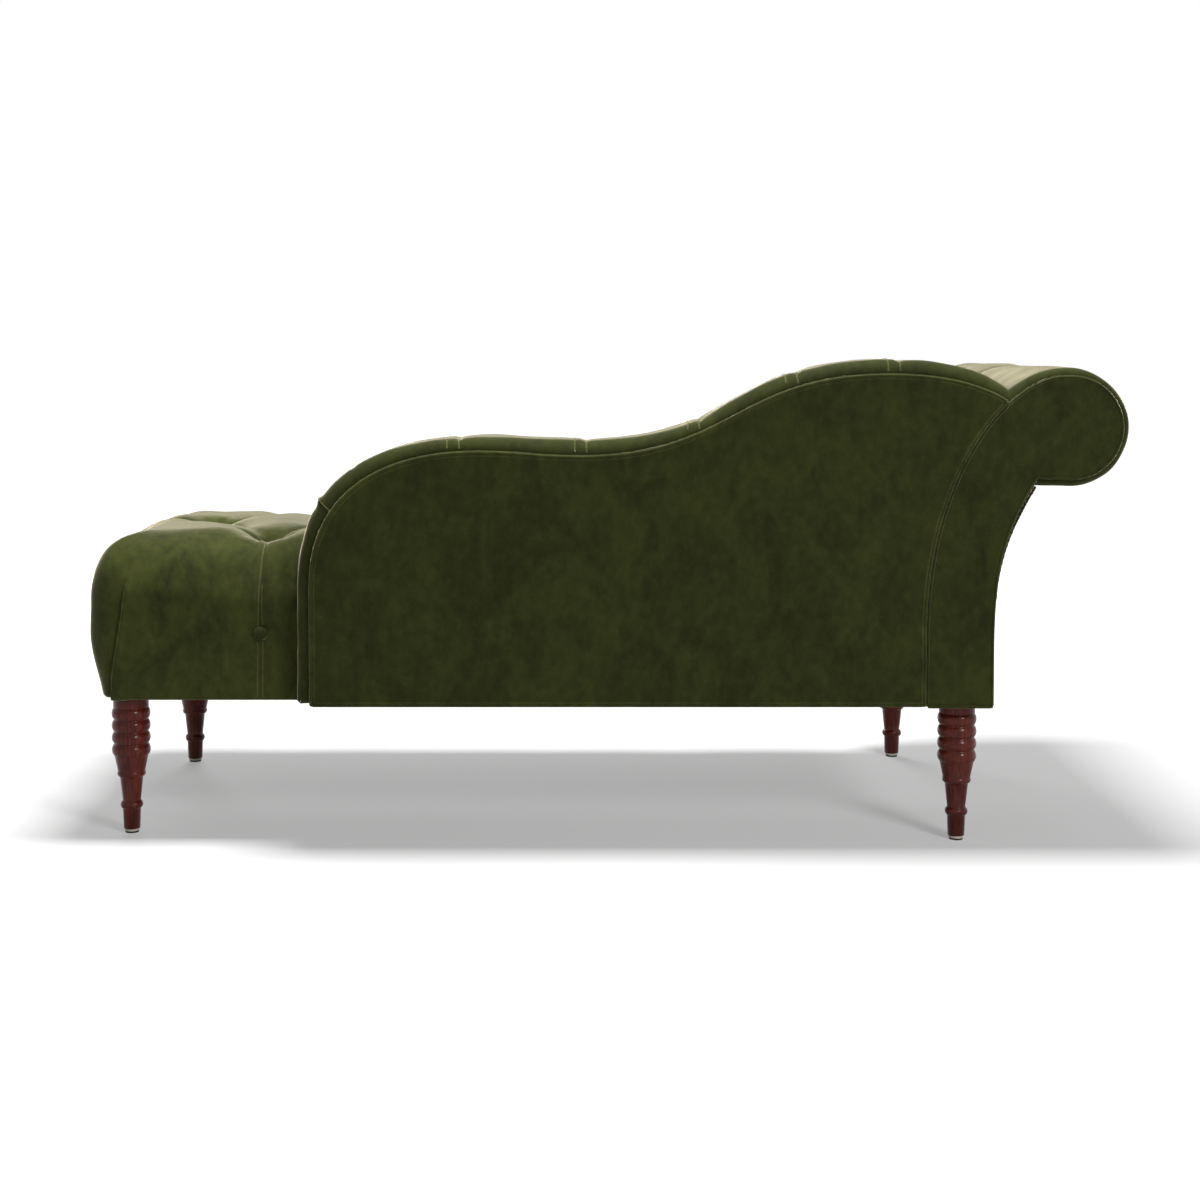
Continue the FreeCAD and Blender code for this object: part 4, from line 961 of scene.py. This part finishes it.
# Legs: turned from hardwood, stained dark red-brown and lacquered to a gloss, each screwed up into its corner block.
# Stain settles in the open grain, which runs up the leg; the clear coat over it gives long, sharp highlights.
mahogany, tree, shader, place = finish("stained_mahogany_lacquer", **{
    "IOR": 1.5, "Specular IOR Level": 0.06, "Coat Weight": 0.4, "Coat Roughness": 0.12, "Coat IOR": 1.35})
along = stretched(tree, place, (1.0, 1.0, 0.06))
grain = noise(tree, along, 260.0, 6.0, Distortion=0.4)
figure = noise(tree, along, 60.0, 3.0)
mixed = add(tree, "ShaderNodeMix", {"Factor": 0.45, "A": grain, "B": figure}, data_type="FLOAT")
spread = between(tree, mixed.outputs["Result"], 0.0, 1.0, 0.35, 0.65)
dress(tree, shader, blend(tree, spread, "66271b", "380f0b"), relief(tree, grain, 0.12, 0.0002),
      between(tree, figure, 0.25, 0.42))


def bow(a, b, c, count=14):
    """The arc through three points of a profile."""
    (ax, ay), (bx, by), (cx, cy) = a, b, c
    d = 2 * (ax * (by - cy) + bx * (cy - ay) + cx * (ay - by))
    ux = ((ax ** 2 + ay ** 2) * (by - cy) + (bx ** 2 + by ** 2) * (cy - ay) + (cx ** 2 + cy ** 2) * (ay - by)) / d
    uy = ((ax ** 2 + ay ** 2) * (cx - bx) + (bx ** 2 + by ** 2) * (ax - cx) + (cx ** 2 + cy ** 2) * (bx - ax)) / d
    start, end = (math.atan2(q[1] - uy, q[0] - ux) for q in (a, c))
    r = math.hypot(ax - ux, ay - uy)
    return [(ux + r * math.cos(t), uy + r * math.sin(t)) for t in np.linspace(start, end, count)]


def softened(run, corner=0.5):
    """The profile with each sharp corner cut by a small bevel, as sanding leaves it."""
    found = [run[0]]
    for a, b, c in zip(run, run[1:], run[2:]):
        u, v = np.subtract(a, b), np.subtract(c, b)
        lu, lv = np.linalg.norm(u), np.linalg.norm(v)
        if lu > 1e-6 and lv > 1e-6 and np.dot(u, v) / (lu * lv) > -0.9:
            found += [tuple(np.add(b, u / lu * min(corner, lu / 2))), tuple(np.add(b, v / lv * min(corner, lv / 2)))]
        else:
            found.append(b)
    return found + [run[-1]]


# The turned profile, as radius and height in mm: ankle, bead, taper, collar, taper, four rings and the plain top.
neck_r, ring_r, ring_half = 26.2, 30, 9.6
leg_run = [(0.01, 6.5), (12.8, 6.5), (13.9, 38.0)] + bow((13.9, 38), (17.4, 44.5), (13.9, 51)) + [(18.0, 88.8)]
leg_run += bow((18, 88.8), (22, 93.3), (21, 97.8)) + [(neck_r, 122.4)]
for ring_z in (132.0, 151.2, 170.4, 189.6):
    leg_run += bow((neck_r, ring_z - ring_half), (ring_r, ring_z), (neck_r, ring_z + ring_half))
leg_run += [(27.6, 199.2), (27.6, 218.2), (0.01, 218.2)]
leg_run = softened([q for i, q in enumerate(leg_run) if i == 0 or math.dist(q, leg_run[i - 1]) > 0.01])


def turned(name, run, centre, material, count=72):
    """A lathe-turned piece: its profile of radius and height swept round its own axis."""
    made = bmesh.new()
    rings = []
    for r, z in run:
        rings.append([made.verts.new(((centre[0] + r * math.cos(a)) * MM, (centre[1] + r * math.sin(a)) * MM, z * MM))
                      for a in np.linspace(0, 2 * math.pi, count, endpoint=False)])
    for a, b in zip(rings, rings[1:]):
        for i in range(count):
            j = (i + 1) % count
            made.faces.new((a[i], a[j], b[j], b[i]))
    bmesh.ops.remove_doubles(made, verts=made.verts, dist=0.00002)
    for face in made.faces:
        face.smooth = True
    piece = placed(name, meshed(made, name))
    piece.data.materials.append(material)
    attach(piece, "root")
    return piece


for place_name, centre in (("foot_rear", (741, 254)), ("foot_front", (741, -254)),
                           ("head_rear", (-552, 297)), ("head_front", (-552, -297))):
    leg = turned("turned_leg_" + place_name, leg_run, centre, mahogany)
    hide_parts("leg_" + place_name)

# Glides: a nailed nylon ring with a dark felt-like pad that meets the floor.
paint(speckled("moulded_nylon", "d8d2c2", "c2bba9", 0.4, 500.0, IOR=1.5), "glide_rings")
paint(speckled("rubber_pad", "1b1917", "0f0e0d", 0.8, 500.0, IOR=1.5), "glide_pads")

# Floor and light: a white studio floor that keeps the shadow, an even white surround, one large lamp overhead, a key
# lamp on the camera's side and a rim lamp behind.
def seen(tree):
    """1 for what the camera sees, in a mirror or glass too, and 0 for the light that falls on things."""
    ray = add(tree, "ShaderNodeLightPath").outputs
    straight = add(tree, "ShaderNodeMath", {0: ray["Is Camera Ray"], 1: ray["Is Glossy Ray"]}, operation="MAXIMUM")
    through = {0: straight.outputs["Value"], 1: ray["Is Transmission Ray"]}
    return add(tree, "ShaderNodeMath", through, operation="MAXIMUM").outputs["Value"]


floor_material, tree, shader, place = finish("studio_floor", **{"Base Color": colour("b3b3b3"), "Roughness": 1.0,
                                                                "Specular IOR Level": 0.0})
away = add(tree, "ShaderNodeVectorMath", {0: place}, operation="LENGTH")
edge = between(tree, away.outputs["Value"], 0.28, 1.0, 1.3, 2.4)
glow = add(tree, "ShaderNodeMath", {0: seen(tree), 1: edge}, operation="MULTIPLY")
shader.inputs["Emission Color"].default_value = (1, 1, 1, 1)
tree.links.new(glow.outputs["Value"], shader.inputs["Emission Strength"])
floor_mesh = bpy.data.meshes.new("studio_floor")
floor_mesh.from_pydata([(-20, -20, 0), (20, -20, 0), (20, 20, 0), (-20, 20, 0)], [], [(0, 1, 2, 3)])
floor_mesh.materials.append(floor_material)
floor = placed("studio_floor", floor_mesh)
floor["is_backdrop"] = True

world = bpy.data.worlds.new("studio")
bpy.context.scene.world = world
world.use_nodes = True
tree = world.node_tree
tree.nodes.clear()
white = add(tree, "ShaderNodeBackground", {"Color": (1, 1, 1, 1), "Strength": between(tree, seen(tree), 0.25, 1.0)})
add(tree, "ShaderNodeOutputWorld", {"Surface": white.outputs["Background"]})


def lamp(name, place, look_at, size, watts):
    light = bpy.data.lights.new(name, "AREA")
    light.shape = "RECTANGLE"
    light.size, light.size_y = size
    light.energy = watts
    thing = placed(name, light)
    thing.location = place
    thing.rotation_euler = (Vector(look_at) - Vector(place)).to_track_quat("-Z", "Y").to_euler()


lamp("overhead", (0.0, 0.1, 3.6), (0, 0.1, 0.3), (1.2, 0.6), 200)
lamp("key", (-1.9, 3.0, 2.1), (0, 0, 0.4), (0.8, 0.8), 60)
lamp("rim", (0.9, -3.2, 1.6), (0, 0, 0.5), (2.0, 0.8), 75)

# Camera: the photograph's own view, from behind and a little above.
view = bpy.data.cameras.new("camera")
view.sensor_width = 36.0
view.lens = 57.05
view.shift_x = 0.0251
view.shift_y = -0.1455
camera = placed("camera", view)
camera.location = (0.0493, 3.229, 0.7724)
camera.rotation_euler = (math.radians(90 - 2.5), 0, math.pi)
bpy.context.scene.camera = camera
bpy.context.scene.view_settings.view_transform = "Standard"

low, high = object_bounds()
